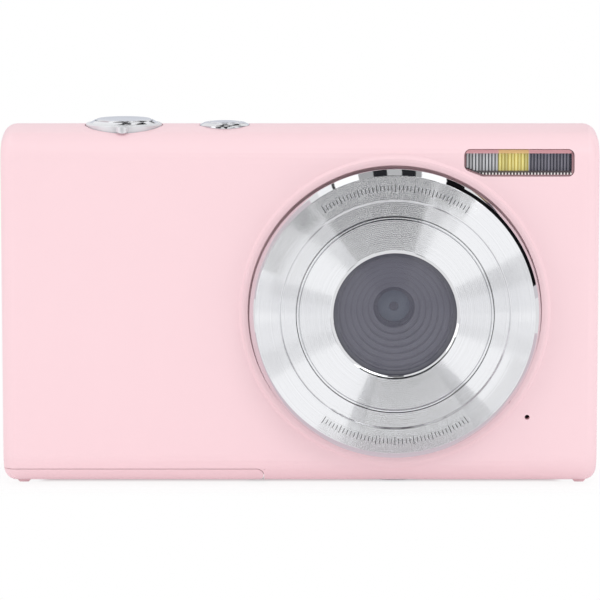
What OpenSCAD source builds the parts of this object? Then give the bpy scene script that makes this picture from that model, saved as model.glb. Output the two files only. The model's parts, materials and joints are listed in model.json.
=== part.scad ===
// Compact digital camera, modelled as the pieces it comes apart into on a bench.
// +X is the right-hand end seen from the front, the lens faces -Y and +Z is up.
// The origin lies on the surface that the feet stand on, below the middle of the camera.
// All depths, named d, count backwards from the flat of the front face.

/* [Case] */
// Width of the case
body_w = 96; // [92:1:120]
// Height of the case without its feet
body_h = 57.4; // [56:0.2:72]
// Depth of the case from front face to rear face
body_d = 20; // [20:0.5:26]
// Wall of the case
wall = 1.6; // [1.4:0.1:2]
// Radius of the long edges
edge_r = 4.8; // [4:0.2:5.4]
// Radius of the crown of the top
crown_r = 30; // [26:1:60]
// Radius round both ends
end_r = 2; // [1.8:0.1:2.6]
// Depth of the rear cover
lid_d = 3.4; // [3:0.2:3.6]
// Height of the feet
foot_h = 0.6; // [0.4:0.1:1]
// Width of a foot
foot_w = 2; // [1.6:0.1:3]
// Length of a foot
foot_l = 9; // [6:0.5:10]
// Gap at the seams between outer pieces
seam = 0.2; // [0.1:0.05:0.3]
// Gap round a piece that moves in a hole
play = 0.2; // [0.15:0.05:0.3]
// Gap round a piece that is fixed in its seat
fit = 0.1; // [0.05:0.05:0.15]

/* [Lens] */
// Distance of the lens axis from the right-hand end
lens_inset = 32.8; // [30:0.2:36]
// Height of the lens axis above the bottom of the case
lens_up = 28.2; // [27:0.2:32]
// Radius of the dark lens window
window_r = 10; // [8:0.5:12]
// Width of the polished bevel round the window
bevel_w = 0.6; // [0.4:0.1:1]
// Width of the spun cone
cone_w = 4.7; // [4:0.1:6]
// Width of the dark groove outside the cone
groove_w = 0.55; // [0.3:0.05:0.8]
// Width of the inner flat of the lens ring
ring_inner_w = 2.55; // [2.2:0.05:4]
// Width of the outer flat of the lens ring
ring_outer_w = 4.0; // [3.6:0.1:6]
// Width of the eased rim of the lens ring
ring_chamfer = 0.9; // [0.5:0.1:1]
// Step between the two flats of the lens ring
ring_step = 0.3; // [0.05:0.05:0.4]
// How far the lens ring stands out of the front face
ring_rise = 4.4; // [3.6:0.2:6]
// Wall of the lens ring
ring_wall = 1.3; // [1:0.1:1.6]
// Gap between the lens ring and its seat in the front cover
ring_gap = 0.3; // [0.3:0.1:0.7]
// Width of the soft lip round the seat
lip_w = 1.4; // [1:0.1:2]
// How far that lip stands out of the front face
lip_rise = 0.5; // [0.3:0.1:0.8]
// Depth of the lens ring's seat
seat_d = 0.5; // [0.3:0.1:0.8]
// Rings in the light baffle
baffle_steps = 7; // [5:1:9]
// Radius of the lens barrel
barrel_r = 6.2; // [5.8:0.1:7]
// Radius of the front lens
front_lens_r = 2.6; // [2.2:0.1:3]
// Depth of the front lens behind the front face
lens_depth = 6; // [5.6:0.1:6.4]

/* [Flash] */
// Distance of the flash window's right edge from the right-hand end
flash_inset = 4.25; // [3.6:0.05:5]
// Width of the flash window
flash_w = 17.4; // [15:0.2:18]
// Height of the flash window
flash_h = 4.15; // [4:0.05:4.5]
// Distance of the flash window's top edge below the top of the case
flash_down = 3.2; // [3:0.1:3.6]
// Corner radius of the flash window
flash_corner = 0.9; // [0.5:0.1:1.2]
// Pitch of the ribs inside the flash window
rib_pitch = 0.5; // [0.4:0.05:1]
// Height of those ribs
rib_h = 0.25; // [0.15:0.05:0.35]

/* [Top controls] */
// Distance of the shutter button from the left-hand end
shutter_inset = 19.5; // [18:0.5:22]
// How far the top controls lie ahead of the middle of the top
shutter_ahead = 0.5; // [0:0.1:1]
// Radius of the zoom lever's ring
zoom_r = 6.15; // [6:0.05:6.4]
// Width of the zoom lever's finger tab
tab_w = 2; // [1.6:0.1:3]
// How far the finger tab stands out of the ring
tab_l = 1.15; // [0.8:0.05:1.3]
// Turn of the zoom lever to either side
zoom_turn = 15; // [10:1:18]
// Radius of the shutter button
shutter_r = 4.5; // [4.2:0.1:4.6]
// Travel of the shutter button
shutter_travel = 0.8; // [0.5:0.1:0.9]
// Distance of the power button from the shutter button
power_gap = 16.3; // [15.8:0.1:20]
// Radius of the power button's bezel
bezel_r = 4; // [3.8:0.1:4.4]
// Radius of the power button
power_r = 2.45; // [2.2:0.05:2.5]
// Travel of the power button and of the rear keys
key_travel = 0.5; // [0.3:0.1:0.5]

/* [Rear] */
// Distance of the screen's middle from the right-hand end
lcd_inset = 35; // [34:0.5:38]
// Width of the screen's window
lcd_w = 61.5; // [58:0.5:63]
// Height of the screen's window
lcd_h = 46; // [42:0.5:47]
// Distance of the keys' middle from the left-hand end
keys_inset = 15; // [14.5:0.5:18]
// Distance of the four round keys from that middle, sideways
key_dx = 6.5; // [6:0.5:8]
// Distance of the four round keys from that middle, up and down
key_dz = 18; // [16:0.5:18.5]
// Radius of a round key
key_r = 2.9; // [2.5:0.1:3.2]
// How far the keys stand out of the rear face
key_rise = 0.5; // [0.3:0.1:0.8]
// Radius of the navigation ring
nav_r = 9; // [8.6:0.1:9.4]
// Tilt of the navigation ring
nav_tilt = 3; // [2:0.5:3]
// Radius of the centre key
ok_r = 3.7; // [3.4:0.1:3.8]

/* [Battery and card] */
// Width of the battery
battery_w = 34; // [30:0.5:34]
// Height of the battery
battery_l = 40; // [36:0.5:40.5]
// Thickness of the battery
battery_t = 6.6; // [5:0.1:6.6]
// Length of the door along the bottom
door_l = 42.1; // [41:0.1:44]
// Thickness of the door
door_t = 2.3; // [2.1:0.1:2.5]
// Radius of the door's hinge pin
pin_r = 0.5; // [0.4:0.05:0.55]
// Running clearance of the door on its pin
pin_play = 0.05; // [0.02:0.01:0.08]
// Width of the memory card
card_w = 24; // [20:1:24]
// Height of the memory card
card_l = 32; // [28:1:32]
// Thickness of the memory card
card_t = 2.1; // [1.6:0.1:2.1]

/* [Sockets] */
// Radius of the tripod thread, kept as a plain bore
tripod_r = 3.175; // [3:0.005:3.2]
// Depth of the tripod bore
tripod_l = 5.4; // [4.5:0.1:6]
// Width of the charging socket
usb_w = 8.94; // [7:0.02:9]
// Height of the charging socket
usb_h = 3.16; // [2.8:0.02:3.2]
// Length of the charging socket
usb_l = 7.3; // [6.5:0.1:8]
// Height of the charging socket's middle above the bottom of the case
usb_up = 21.4; // [20:0.2:24]
// Radius of the strap bar
strap_r = 0.8; // [0.6:0.1:1]
// Height of the strap recess
strap_h = 7; // [6:0.5:8]
// Depth of the strap recess
strap_deep = 3.2; // [2.8:0.1:3.2]
// Radius of the microphone hole
mic_r = 0.4; // [0.3:0.05:0.6]

/* [Hidden] */
$fn = 64;

// Facets of the case's round edges, outside and inside
case_facets = 8;
cavity_facets = 5;
// A cut runs this far past the faces that it opens
past = 1;
// Slack of a piece that is pressed home
press = 0.02;

// The outer box of the case
x_left = -body_w / 2;
x_right = body_w / 2;
z_low = foot_h;
z_high = foot_h + body_h;
z_mid = (z_low + z_high) / 2;
d_split = body_d - lid_d;
d_back = body_d - wall;
y_front = (ring_rise - body_d - key_rise) / 2;

// Centres of the crowned top and of the fillets beside it
crown_z = z_high - crown_r;
fillet_z = crown_z + sqrt(pow(crown_r - edge_r, 2) - pow(body_d / 2 - edge_r, 2));
crown_a = atan2(fillet_z - crown_z, body_d / 2 - edge_r);

// Radii of the lens, from the window outwards
lens_x = x_right - lens_inset;
lens_z = z_low + lens_up;
cone_in_r = window_r + bevel_w;
cone_r = cone_in_r + cone_w;
ring_bore_r = cone_r + groove_w;
ring_step_r = ring_bore_r + ring_inner_w;
ring_face_r = ring_step_r + ring_outer_w;
ring_r = ring_face_r + ring_chamfer;
seat_r = ring_r + ring_gap;
lip_r = seat_r + lip_w;
// Depths of the lens pieces, ahead of the front face where they are negative
rim_d = 1.2;
bead_sunk = 0.4;
bead_slot = 0.5;
bead_gap = 0.12;
cone_sunk = 0.1;
cone_d = cone_sunk - ring_rise;
cone_drop = 0.15;
bevel_drop = 0.3;
bevel_d = cone_d + cone_drop + bevel_drop;
window_sunk = 0.9;
window_d = bevel_d + window_sunk;
window_lip = 0.7;
window_t = 0.85;
window_back = window_d + window_t;
shelf_d = window_back + window_lip;
ring_shelf_d = 1.8 - ring_rise;
ring_shelf_w = 1.2;
ring_shelf_t = 1;
baffle_step = 0.8;
boss_d = wall + 0.25;
baffle_flange_t = 1;
baffle_wall = 0.9;
baffle_end = lens_depth - 0.6;
barrel_d = lens_depth - 0.4;
barrel_base_d = barrel_d + 4.8;
barrel_base_t = 1.8;
barrel_ear = 13;
sensor_board_d = barrel_base_d + barrel_base_t;
sensor_board_t = 0.8;
filter_d = barrel_base_d + 0.3;
filter_t = 0.35;
sensor_w = 8.4;
sensor_h = 7.4;
ring_screw_r = ring_step_r + ring_outer_w / 2 - 0.9;

// Stack of the boards and the screen, from the rear face forwards
lcd_stack = 3.8;
board_t = 1;
board_back = d_back - lcd_stack;
board_d = board_back - board_t;
dome_h = 0.3;
tray_d = d_back - 3.2;
tray_t = 0.5;
panel_t = 2.4;
lcd_x = x_right - lcd_inset;
lcd_recess = 1.1;
lcd_border = 2;
lcd_border_z = 1.4;
lcd_in = 0.7;
ribbon_w = 16;

// The bay that holds the battery
bay_wall = 0.9;
bay_play = 0.25;
bay_d = wall + 0.3;
battery_d = bay_d + bay_wall + bay_play;
bay_back = battery_d + battery_t + bay_play;
bay_end = bay_back + bay_wall;
hinge_x = x_left + door_l - door_t / 2;
hinge_z = z_low + door_t / 2;
hinge_wall = 2;
battery_right = hinge_x - hinge_wall / 2 - bay_play;
battery_left = battery_right - battery_w;
battery_z = z_low + door_t + 1.6;
battery_top = battery_z + battery_l;
bay_z = z_low + door_t + 0.3;
bay_top = battery_top + 0.4;
door_end = d_split - seam;
lug_w = 2;
lug_ds = [bay_d + 2.4, board_d - 2.8];
pin_d0 = 3.4;
pin_d1 = door_end - 0.8;
tongue_x = x_left + wall + 0.9;
tongue_t = 1;
land_pitch = 6;

// The card beside the battery
slot_wall = 0.3;
slot_t = card_t + 2 * slot_wall;
slot_d = board_d - slot_t;
card_x = (battery_left + battery_right) / 2;
card_z = z_low + door_t + 2.2;

// The controls on the top, counted down from the crest
shutter_x = x_left + shutter_inset;
shutter_d = body_d / 2 - shutter_ahead;
power_x = shutter_x + power_gap;
zoom_bottom = z_high - 2;
zoom_floor = z_high - 1.05;
zoom_rim = z_high + 0.25;
zoom_top = z_high + 0.75;
shutter_top = z_high + 0.95;
cap_under = z_high - 0.05;
stem_r = 2.2;
stem_end = z_high - 5;
stem_play = 0.08;
clip_z = 0.3;
clip_slot = 0.4;
clip_deep = 0.4;
clip_r = 0.7;
sleeve_r = 3.6;
hub_r = sleeve_r + pin_play;
plate_z = zoom_bottom - 1.4;
plate_t = 1.2;
plate_half_d = 4.2;
plate_half_w = 10.6;
spring_seat = z_high - 3;
spring_r = 2.65;
wire_r = 0.15;
coils = 3;
hub_end = z_high - 4.3;
boss_x = 8.5;
boss_r = 1.8;
drive_r = 5.2;
drive_pin_r = 0.55;
drive_end = z_high - 5.6;
control_z = z_high - 7.2;
control_t = 0.8;
control_top = control_z + control_t;
control_d0 = shutter_d - 4;
control_d1 = shutter_d + 5.5;
switch_top = stem_end - shutter_travel - fit;
bezel_seat = z_high - 0.5;
bezel_tube_r = 3.3;
bezel_end = z_high - 2.4;

// The keys on the rear
keys_x = x_left + keys_inset;
key_flange = 0.7;
key_flange_d = d_back - 1.1;
key_flange_t = 0.8;
key_tip_d = board_back + dome_h + key_travel + fit;
nav_bore_r = ok_r + 0.5;
nav_flange_r = nav_r + 0.8;
ridge_r = 0.5;
rocker_in_r = ok_r + 1.1;
rocker_out_r = nav_r - 0.1;
rocker_pivot_d = board_back + max(ridge_r, rocker_out_r * sin(nav_tilt)) + 0.05;
rocker_d = rocker_pivot_d;
rocker_t = 0.8;
nav_pivot_d = rocker_d + rocker_t + 0.55;
mark_deep = 0.15;
mark_r = 1.1;
mark_w = 0.32;
mark_gap = 0.75;
light_dz = 13.8;
light_r = 0.8;
pad_x = 6.4;
pad_r = 0.9;
pad_t = 0.1;

// Screws
screw_r = 0.7;
screw_hole = 0.72;
pilot_l = 3.4;
head_r = 1.4;
head_h = 0.5;
recess_w = 0.3;
recess_l = 1.7;
recess_deep = 0.25;
case_screw_d = d_split - 3.4;
case_screw_seat = 0.9;
lug_x = 2.3;
right_lugs = [z_low + 9.5, z_high - 13];
left_lugs = [z_low + 22, z_high - 8];
frame_posts = [[battery_left + 2.2, bay_top + 2.9], [battery_right - 2.6, bay_top + 2.9],
  [hinge_x + 3.9, z_low + 6]];
board_posts_frame = [[battery_left + 1.2, bay_top - 5.4], [battery_right - 1.6, bay_top - 2.9]];
board_posts_cover = [[x_right - 6.8, z_high - 12], [x_right - 6.8, z_low + 12]];
post_r = 1.8;

// The small pieces near the right-hand end
flash_right = x_right - flash_inset;
flash_left = flash_right - flash_w;
flash_top = z_high - flash_down;
flash_low = flash_top - flash_h;
flash_d = 1.9;
flash_mid = fillet_z - 0.25;
flash_board_d = 5.2;
led_x = flash_left + 7.8;
led_w = 4.6;
led_t = 0.9;
mic_x = x_right - 11.4;
mic_z = z_low + 10.95;
capsule_r = 2;
capsule_t = 1.4;
speaker_x = x_right - 12;
speaker_d = shutter_d;
usb_z = z_low + usb_up;
usb_d = board_d - usb_h / 2;
tripod_d = body_d / 2 - 0.6;
tripod_flange_r = 4.2;
tripod_nut_r = 4.6;
tripod_proud = 0.3;
tripod_cap = 0.5;
tripod_wall = 0.9;
strap_z = z_low + 39.4;
strap_d = 8;
strap_half = 3;
strap_hold = 1;
strap_x = x_left + strap_r + 0.2;

// Points of an arc, in order from one angle to the other
function arc(cx, cy, r, a0, a1, n) =
  [for (i = [0:n]) let(a = a0 + (a1 - a0) * i / n) [cx + r * cos(a), cy + r * sin(a)]];

// Outline of a rectangle with round corners, about its own middle
function round_rect(w, h, r, n = 6) = concat(
  arc(w / 2 - r, h / 2 - r, r, 0, 90, n), arc(r - w / 2, h / 2 - r, r, 90, 180, n),
  arc(r - w / 2, r - h / 2, r, 180, 270, n), arc(w / 2 - r, r - h / 2, r, 270, 360, n));

// Outline of the case seen from its end, drawn in by an even amount
function case_section(inset, n) = concat(
  arc(edge_r, fillet_z, edge_r - inset, 180, 180 - crown_a, n),
  [for (i = [1:3]) let(a = 180 - crown_a + (2 * crown_a - 180) * i / 4)
    [body_d / 2 + (crown_r - inset) * cos(a), crown_z + (crown_r - inset) * sin(a)]],
  arc(body_d - edge_r, fillet_z, edge_r - inset, crown_a, 0, n),
  arc(body_d - edge_r, z_low + edge_r, edge_r - inset, 0, -90, n),
  arc(edge_r, z_low + edge_r, edge_r - inset, -90, -180, n));

// Case lofted from end to end through its sections, with round ends
module case_loft(inset, n, steps) {
  round_r = max(end_r - inset, 0.2);
  half = body_w / 2 - inset;
  side = [for (i = [0:steps]) let(a = 90 * i / steps)
    [half - round_r + round_r * sin(a), inset + round_r * (1 - cos(a))]];
  rings = concat([for (i = [steps:-1:0]) [-side[i][0], side[i][1]]], side);
  count = len(case_section(inset, n));
  points = [for (ring = rings, p = case_section(ring[1], n)) [ring[0], p[0], p[1]]];
  skin = [for (i = [0:len(rings) - 2], j = [0:count - 1])
    [i * count + j, i * count + (j + 1) % count,
     (i + 1) * count + (j + 1) % count, (i + 1) * count + j]];
  last = (len(rings) - 1) * count;
  caps = [[for (j = [count - 1:-1:0]) j], [for (j = [0:count - 1]) last + j]];
  polyhedron(points, concat(skin, caps));
}

// Moves a piece from the case's depths to the camera's own frame
module place() translate([0, y_front, 0]) children();

module block(x0, x1, d0, d1, z0, z1) translate([x0, d0, z0]) cube([x1 - x0, d1 - d0, z1 - z0]);

// Round bar along the depth, the height or the width
module bar_d(x, z, r, d0, d1) translate([x, d0, z]) rotate([-90, 0, 0]) cylinder(r = r, h = d1 - d0);

module bar_z(x, d, r, z0, z1) translate([x, d, z0]) cylinder(r = r, h = z1 - z0);

module bar_x(d, z, r, x0, x1) translate([x0, d, z]) rotate([0, 90, 0]) cylinder(r = r, h = x1 - x0);

// Outline in the front view, given its depth
module sheet_d(d0, d1) translate([0, d1, 0]) rotate([90, 0, 0]) linear_extrude(d1 - d0) children();

// Outline in the end view, given its width
module sheet_x(x0, x1) translate([x0, 0, 0]) rotate([90, 0, 90]) linear_extrude(x1 - x0) children();

// Outline in the top view, given its height
module sheet_z(z0, z1) translate([0, 0, z0]) linear_extrude(z1 - z0) children();

// Section turned about the lens axis, or about a key's axis
module turn_d(x, z) translate([x, 0, z]) rotate([-90, 0, 0]) rotate_extrude() children();

module turn_z(x) translate([x, shutter_d, 0]) rotate_extrude() children();

module at_lens(angle, r) translate([lens_x + r * cos(angle), 0, lens_z + r * sin(angle)]) children();

// Post with its pilot hole left for a screw
module post(x, z, d0, d1) {
  difference() {
    bar_d(x, z, post_r, d0, d1);
    bar_d(x, z, screw_hole, d1 - pilot_l, d1 + past);
  }
}

// Screw that stands on its tip, with a cross recess in its head
module screw(length) {
  difference() {
    cylinder(r = head_r, h = head_h);
    for (turn = [0, 90])
      rotate([0, 0, turn])
        translate([-recess_l / 2, -recess_w / 2, head_h - recess_deep]) cube([recess_l, recess_w, head_h]);
  }
  translate([0, 0, -length]) cylinder(r = screw_r, h = length + head_h - recess_deep - recess_w / 2);
}

// Screw along the depth with its head at the back
module screw_d(x, z, seat, length) translate([x, seat, z]) rotate([-90, 0, 0]) screw(length);

// Foot ridge with chamfered flanks and a flat sole
module foot(x) {
  half = foot_w / 2;
  sole = half - foot_h / 2;
  root = wall / 4;
  translate([x, body_d / 2 + foot_l / 2, z_low])
    rotate([90, 0, 0])
      linear_extrude(foot_l)
        polygon([[-half, root], [-half, -foot_h / 2], [-sole, -foot_h], [sole, -foot_h],
          [half, -foot_h / 2], [half, root]]);
}

// Outline of the flash window, with one corner cut off
module flash_outline(grow) {
  cut_w = 2.8;
  cut_h = 1.1;
  offset(delta = grow)
    offset(r = flash_corner)
      offset(delta = -flash_corner)
        polygon([[flash_left, flash_top], [flash_right, flash_top], [flash_right, flash_low],
          [flash_left + cut_w, flash_low], [flash_left, flash_low + cut_h]]);
}

// Soft lip round the lens ring's seat, with the boss behind it
module lens_seat() {
  crest_r = 0.3;
  crest = seat_r + 2 * crest_r;
  foot_r = 1;
  foot_x = lip_r + foot_r / 2;
  dip = 0.1;
  floor_d = 0.2;
  lip = concat([[seat_r - past, boss_d], [seat_r - past, -lip_rise]],
    arc(crest, crest_r - lip_rise, crest_r, 270, 290, 2),
    arc(foot_x, dip - foot_r, foot_r, 150, 90, 4), [[foot_x, boss_d]]);
  turn_d(lens_x, lens_z) polygon([[0, floor_d], [seat_r, floor_d], [seat_r, boss_d], [0, boss_d]]);
  intersection() {
    turn_d(lens_x, lens_z) polygon(lip);
    block(x_left, x_right, -past, boss_d, z_low + wall / 2, z_high);
  }
}

// Openings of the front cover for the lens, the flash and the microphone
module front_openings() {
  grille = 2.2;
  grille_r = 0.5;
  bar_d(lens_x, lens_z, seat_r, -ring_rise, seat_d);
  bar_d(lens_x, lens_z, window_r, -past, boss_d + past);
  for (i = [0:2])
    at_lens(90 + 120 * i, ring_screw_r) bar_d(0, 0, screw_r + fit, -past, boss_d + past);
  sheet_d(-past, flash_d + past + fit) flash_outline(fit);
  bar_d(mic_x, mic_z, mic_r, -past, wall + past);
  for (i = [-1:1], j = [-1, 1])
    bar_z(speaker_x + grille * i, speaker_d + grille * j / 2, grille_r, -past, z_low + wall + past);
}

// Openings of the front cover for the controls on the top
module top_openings() {
  skin = wall - play;
  bar_z(shutter_x, shutter_d, zoom_r + play, zoom_bottom - 2.5 * play, z_high + past);
  bar_z(power_x, shutter_d, bezel_r + fit, bezel_seat, z_high + past);
  bar_z(power_x, shutter_d, bezel_tube_r + fit, bezel_seat - wall - past, z_high);
  for (side = [-1, 1])
    bar_z(shutter_x + side * boss_x, shutter_d, screw_hole, 0, z_high - skin);
}

// Openings in the ends and the bottom
module end_openings() {
  bar_end = strap_h / 2 + strap_hold + fit;
  sheet_x(x_right - wall - past, x_right + past)
    translate([usb_d, usb_z])
      polygon(round_rect(usb_h + 2 * fit, usb_w + 2 * fit, usb_h / 2));
  block(x_left - past, x_left + strap_deep, strap_d - strap_half, strap_d + strap_half,
    strap_z - strap_h / 2, strap_z + strap_h / 2);
  bar_z(strap_x, strap_d, strap_r + press, strap_z - bar_end, strap_z + bar_end);
  for (z = right_lugs) case_screw_hole(1, z);
  for (z = left_lugs) case_screw_hole(-1, z);
  bar_z(lens_x, tripod_d, tripod_nut_r + fit, -past, z_low + tripod_l + tripod_cap + fit);
}

module case_screw_hole(side, z) {
  reach = side * (x_right - wall - past);
  outer = side * (x_right + past);
  seat = side * (x_right - case_screw_seat);
  bar_x(case_screw_d, z, screw_r + fit, min(reach, outer), max(reach, outer));
  bar_x(case_screw_d, z, head_r + fit, min(seat, outer), max(seat, outer));
}

module front_shell() {
  cheek = 1;
  cheek_z = strap_h / 2 + strap_hold + 3 * fit;
  foot_in = 2.6;
  difference() {
    union() {
      difference() {
        case_loft(0, case_facets, 6);
        case_loft(wall, cavity_facets, 2);
      }
      lens_seat();
      block(x_left + wall / 2, x_left + strap_deep + cheek, strap_d - strap_half - cheek,
        strap_d + strap_half + cheek, strap_z - cheek_z, strap_z + cheek_z);
      bar_z(lens_x, tripod_d, tripod_nut_r + tripod_wall, z_low + wall / 2,
        z_low + tripod_l + tripod_cap + fit + cheek);
      for (side = [-1, 1])
        bar_z(shutter_x + side * boss_x, shutter_d, boss_r, plate_z + plate_t, z_high - wall / 2);
      bar_d(mic_x, mic_z, capsule_r + cheek, wall / 2, wall + capsule_t - fit);
      foot(x_right - foot_in);
    }
    block(x_left - past, x_right + past, d_split, body_d + past, -past, z_high + past);
    bar_d(mic_x, mic_z, capsule_r + fit, wall, wall + capsule_t + past);
    front_openings();
    top_openings();
    end_openings();
    block(x_left - past, x_left + door_l + seam, -past, d_split + past, -past, z_low + door_t + seam);
  }
}

module front_cover() {
  root = 0.2;
  color("#fcdde2") place() {
    front_shell();
    for (p = board_posts_cover) post(p[0], p[1], wall - root, board_d);
    for (p = frame_posts) post(p[0], p[1], wall - root, bay_back);
    for (side = [-1, 1]) post(lens_x + side * barrel_ear, lens_z, boss_d - root, barrel_base_d);
  }
}

// Lug of the rear cover that a case screw bites into
module case_lug(side, z) {
  inner = x_right - wall - seam;
  half = 2.4;
  root = 0.6;
  bore_0 = side > 0 ? inner - lug_x - past : -inner - past;
  bore_1 = side > 0 ? inner + past : -inner + lug_x + past;
  difference() {
    union() {
      translate([side > 0 ? inner - lug_x : -inner, case_screw_d - half + play, z - half])
        cube([lug_x, d_back - case_screw_d + half, 2 * half]);
      translate([side > 0 ? inner - root : -inner - wall / 2, d_split + play + 3 * fit, z - half])
        cube([wall / 2 + root, d_back - d_split - 3 * fit, 2 * half]);
    }
    bar_x(case_screw_d, z, screw_hole, bore_0, bore_1);
  }
}

module key_hole(x, z, r) bar_d(x, z, r, d_back - past, body_d + past);

module rear_cover() {
  glass_r = 1.5;
  color("#fcdde2") place() {
    difference() {
      case_loft(0, case_facets, 6);
      case_loft(wall, cavity_facets, 2);
      block(x_left - past, x_right + past, -past, d_split + seam / 2, -past, z_high + past);
      sheet_d(body_d - lcd_recess, body_d + past)
        translate([lcd_x, z_mid]) polygon(round_rect(lcd_w + 2 * fit, lcd_h + 2 * fit, glass_r));
      sheet_d(d_back - past, body_d)
        translate([lcd_x, z_mid])
          square([lcd_w - 2 * lcd_border, lcd_h - 2 * lcd_border_z], center = true);
      for (i = [-1, 1], j = [-1, 1])
        key_hole(keys_x + i * key_dx, z_mid + j * key_dz, key_r + play);
      key_hole(keys_x, z_mid, nav_r + play + fit);
      key_hole(keys_x, z_mid + light_dz, light_r + fit);
    }
    for (z = right_lugs) case_lug(1, z);
    for (z = left_lugs) case_lug(-1, z);
  }
}

// Ear of the frame that a screw holds to a post of the front cover
module frame_ear(x, z, x0, x1, z0, z1) {
  difference() {
    block(x0, x1, bay_back, bay_end, z0, z1);
    bar_d(x, z, screw_r + fit, bay_back - past, bay_end + past);
  }
}

module mid_frame() {
  wall_right = battery_right + bay_play;
  wall_left = battery_left - bay_play;
  cheek_h = 9;
  port_w = 2;
  port_d = battery_d + 2;
  port_h = 1.6;
  lead = 1.2;
  half = 2;
  ears = frame_posts;
  color("#2b2b2e") place() {
    difference() {
      union() {
        block(wall_left - bay_wall, wall_right + hinge_wall, bay_d, bay_end, bay_z, bay_top + bay_wall);
        block(wall_right, wall_right + hinge_wall, bay_d, board_d - 2 * play, bay_z, bay_z + cheek_h);
      }
      block(wall_left, wall_right, bay_d + bay_wall, bay_back, bay_z - past, bay_top);
      for (i = [-1:1])
        block(card_x + land_pitch * i - port_w / 2, card_x + land_pitch * i + port_w / 2, port_d,
          port_d + port_h, bay_top - past, bay_top + bay_wall + past);
      bar_d(hinge_x, hinge_z, door_t / 2 + seam, bay_d - past, board_d);
      sheet_x(wall_left - hinge_wall, wall_right + 2 * hinge_wall)
        polygon([[bay_d - past, bay_z - past], [bay_d + bay_wall + fit, bay_z - past],
          [bay_d + bay_wall + fit, bay_z], [bay_d, bay_z + lead], [bay_d - past, bay_z + lead]]);
    }
    for (d = lug_ds) hinge_lug(d);
    for (p = [ears[0], ears[1]])
      frame_ear(p[0], p[1], p[0] - half, p[0] + half, bay_top + bay_wall, p[1] + half);
    frame_ear(ears[2][0], ears[2][1], wall_right + hinge_wall, ears[2][0] + half,
      ears[2][1] - half, ears[2][1] + half);
    for (p = board_posts_frame) post(p[0], p[1], bay_end - fit, board_d);
  }
}

// Lug that carries the hinge pin between the door's knuckles
module hinge_lug(d) {
  root = 1.5;
  difference() {
    union() {
      bar_d(hinge_x, hinge_z, hinge_wall / 2, d, d + lug_w);
      block(hinge_x - hinge_wall / 2, hinge_x + hinge_wall / 2, d, d + lug_w, hinge_z, bay_z + root);
    }
    bar_d(hinge_x, hinge_z, pin_r + press / 2, d - past, d + lug_w + past);
  }
}

module battery_door() {
  top = z_low + door_t;
  foot_in = 3.1;
  rib_t = 0.8;
  rib_rise = 0.9;
  root = 0.2;
  rib_d0 = bay_d + 2.2;
  rib_d1 = bay_back - 1.4;
  tongue_d = bay_d + 4;
  tongue_w = 5;
  tongue_rise = 3.2;
  bead_r = 0.3;
  color("#fcdde2") place() {
    difference() {
      union() {
        intersection() {
          case_loft(0, case_facets, 6);
          union() {
            block(x_left - past, hinge_x, -past, door_end, z_low - past, top);
            bar_d(hinge_x, hinge_z, door_t / 2, -past, door_end);
          }
        }
        foot(x_left + foot_in);
        for (x = [battery_left + 1, battery_right - 6.8])
          block(x, x + rib_t, rib_d0, rib_d1, top - root, top + rib_rise);
        block(tongue_x - tongue_t / 2, tongue_x + tongue_t / 2, tongue_d, tongue_d + tongue_w,
          top - root, top + tongue_rise);
        bar_d(tongue_x + tongue_t / 2, top + tongue_rise - 2 * bead_r, bead_r, tongue_d, tongue_d + tongue_w);
      }
      for (d = lug_ds)
        block(hinge_x - door_t / 2 - 2 * play, hinge_x + door_t, d - play, d + lug_w + play,
          z_low - past, top + past);
      bar_d(hinge_x, hinge_z, pin_r + pin_play, pin_d0 - seam, door_end + past);
    }
  }
}

module door_pad() {
  inset = 1.2;
  color("#3a3a3c") place()
    block(battery_left + 4, battery_right - 8.4, battery_d + inset, battery_d + battery_t - inset,
      z_low + door_t, battery_z - 3 * fit);
}

module hinge_pin() {
  color("#c4c6ca") place() bar_d(hinge_x, hinge_z, pin_r, pin_d0, pin_d1);
}

// Spun bezel with two flats, hollow behind, with three screw bosses
module lens_ring() {
  face_d = -ring_rise;
  flat_d = ring_step - ring_rise;
  back_d = ring_wall - ring_rise;
  shelf_r = ring_bore_r - ring_shelf_w;
  shelf_end = ring_shelf_d + ring_shelf_t;
  color("#d8d9dc") place() {
    difference() {
      union() {
        turn_d(lens_x, lens_z)
          polygon([[ring_r, seat_d], [ring_r, face_d + rim_d],
            [ring_face_r, face_d], [ring_step_r, face_d], [ring_step_r - ring_step / 2, flat_d],
            [ring_bore_r, flat_d], [ring_bore_r, ring_shelf_d], [shelf_r, ring_shelf_d],
            [shelf_r, shelf_end], [ring_bore_r + ring_wall, shelf_end], [ring_bore_r + ring_wall, back_d],
            [ring_r - ring_wall, back_d], [ring_r - ring_wall, seat_d]]);
        for (i = [0:2])
          at_lens(90 + 120 * i, ring_screw_r) bar_d(0, 0, boss_r - play, back_d - play, seat_d);
      }
      for (i = [0:2])
        at_lens(90 + 120 * i, ring_screw_r) bar_d(0, 0, screw_hole, back_d + 2 * play, seat_d + past);
    }
  }
}

// Spun cone that holds the window in its bevelled mouth
module lens_cone() {
  mouth_r = window_r - window_lip;
  back_r = cone_r - groove_w - baffle_step;
  bead_r = ring_bore_r - fit;
  bead_d = bead_sunk - ring_rise;
  slot_end = bead_d + bead_slot;
  color("#cfd0d4") place()
    turn_d(lens_x, lens_z)
      polygon([[bead_r, ring_shelf_d], [bead_r, bead_d], [cone_r + bead_gap, bead_d],
        [cone_r + bead_gap, slot_end], [cone_r, slot_end], [cone_r, cone_d],
        [cone_in_r, cone_d + cone_drop],
        [window_r + fit, bevel_d], [window_r + fit, window_back], [mouth_r, window_back],
        [mouth_r, shelf_d], [back_r, shelf_d], [back_r, ring_shelf_d]]);
}

module lens_window() {
  color("#4b4d55") place() bar_d(lens_x, lens_z, window_r, window_d, window_back);
}

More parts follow.
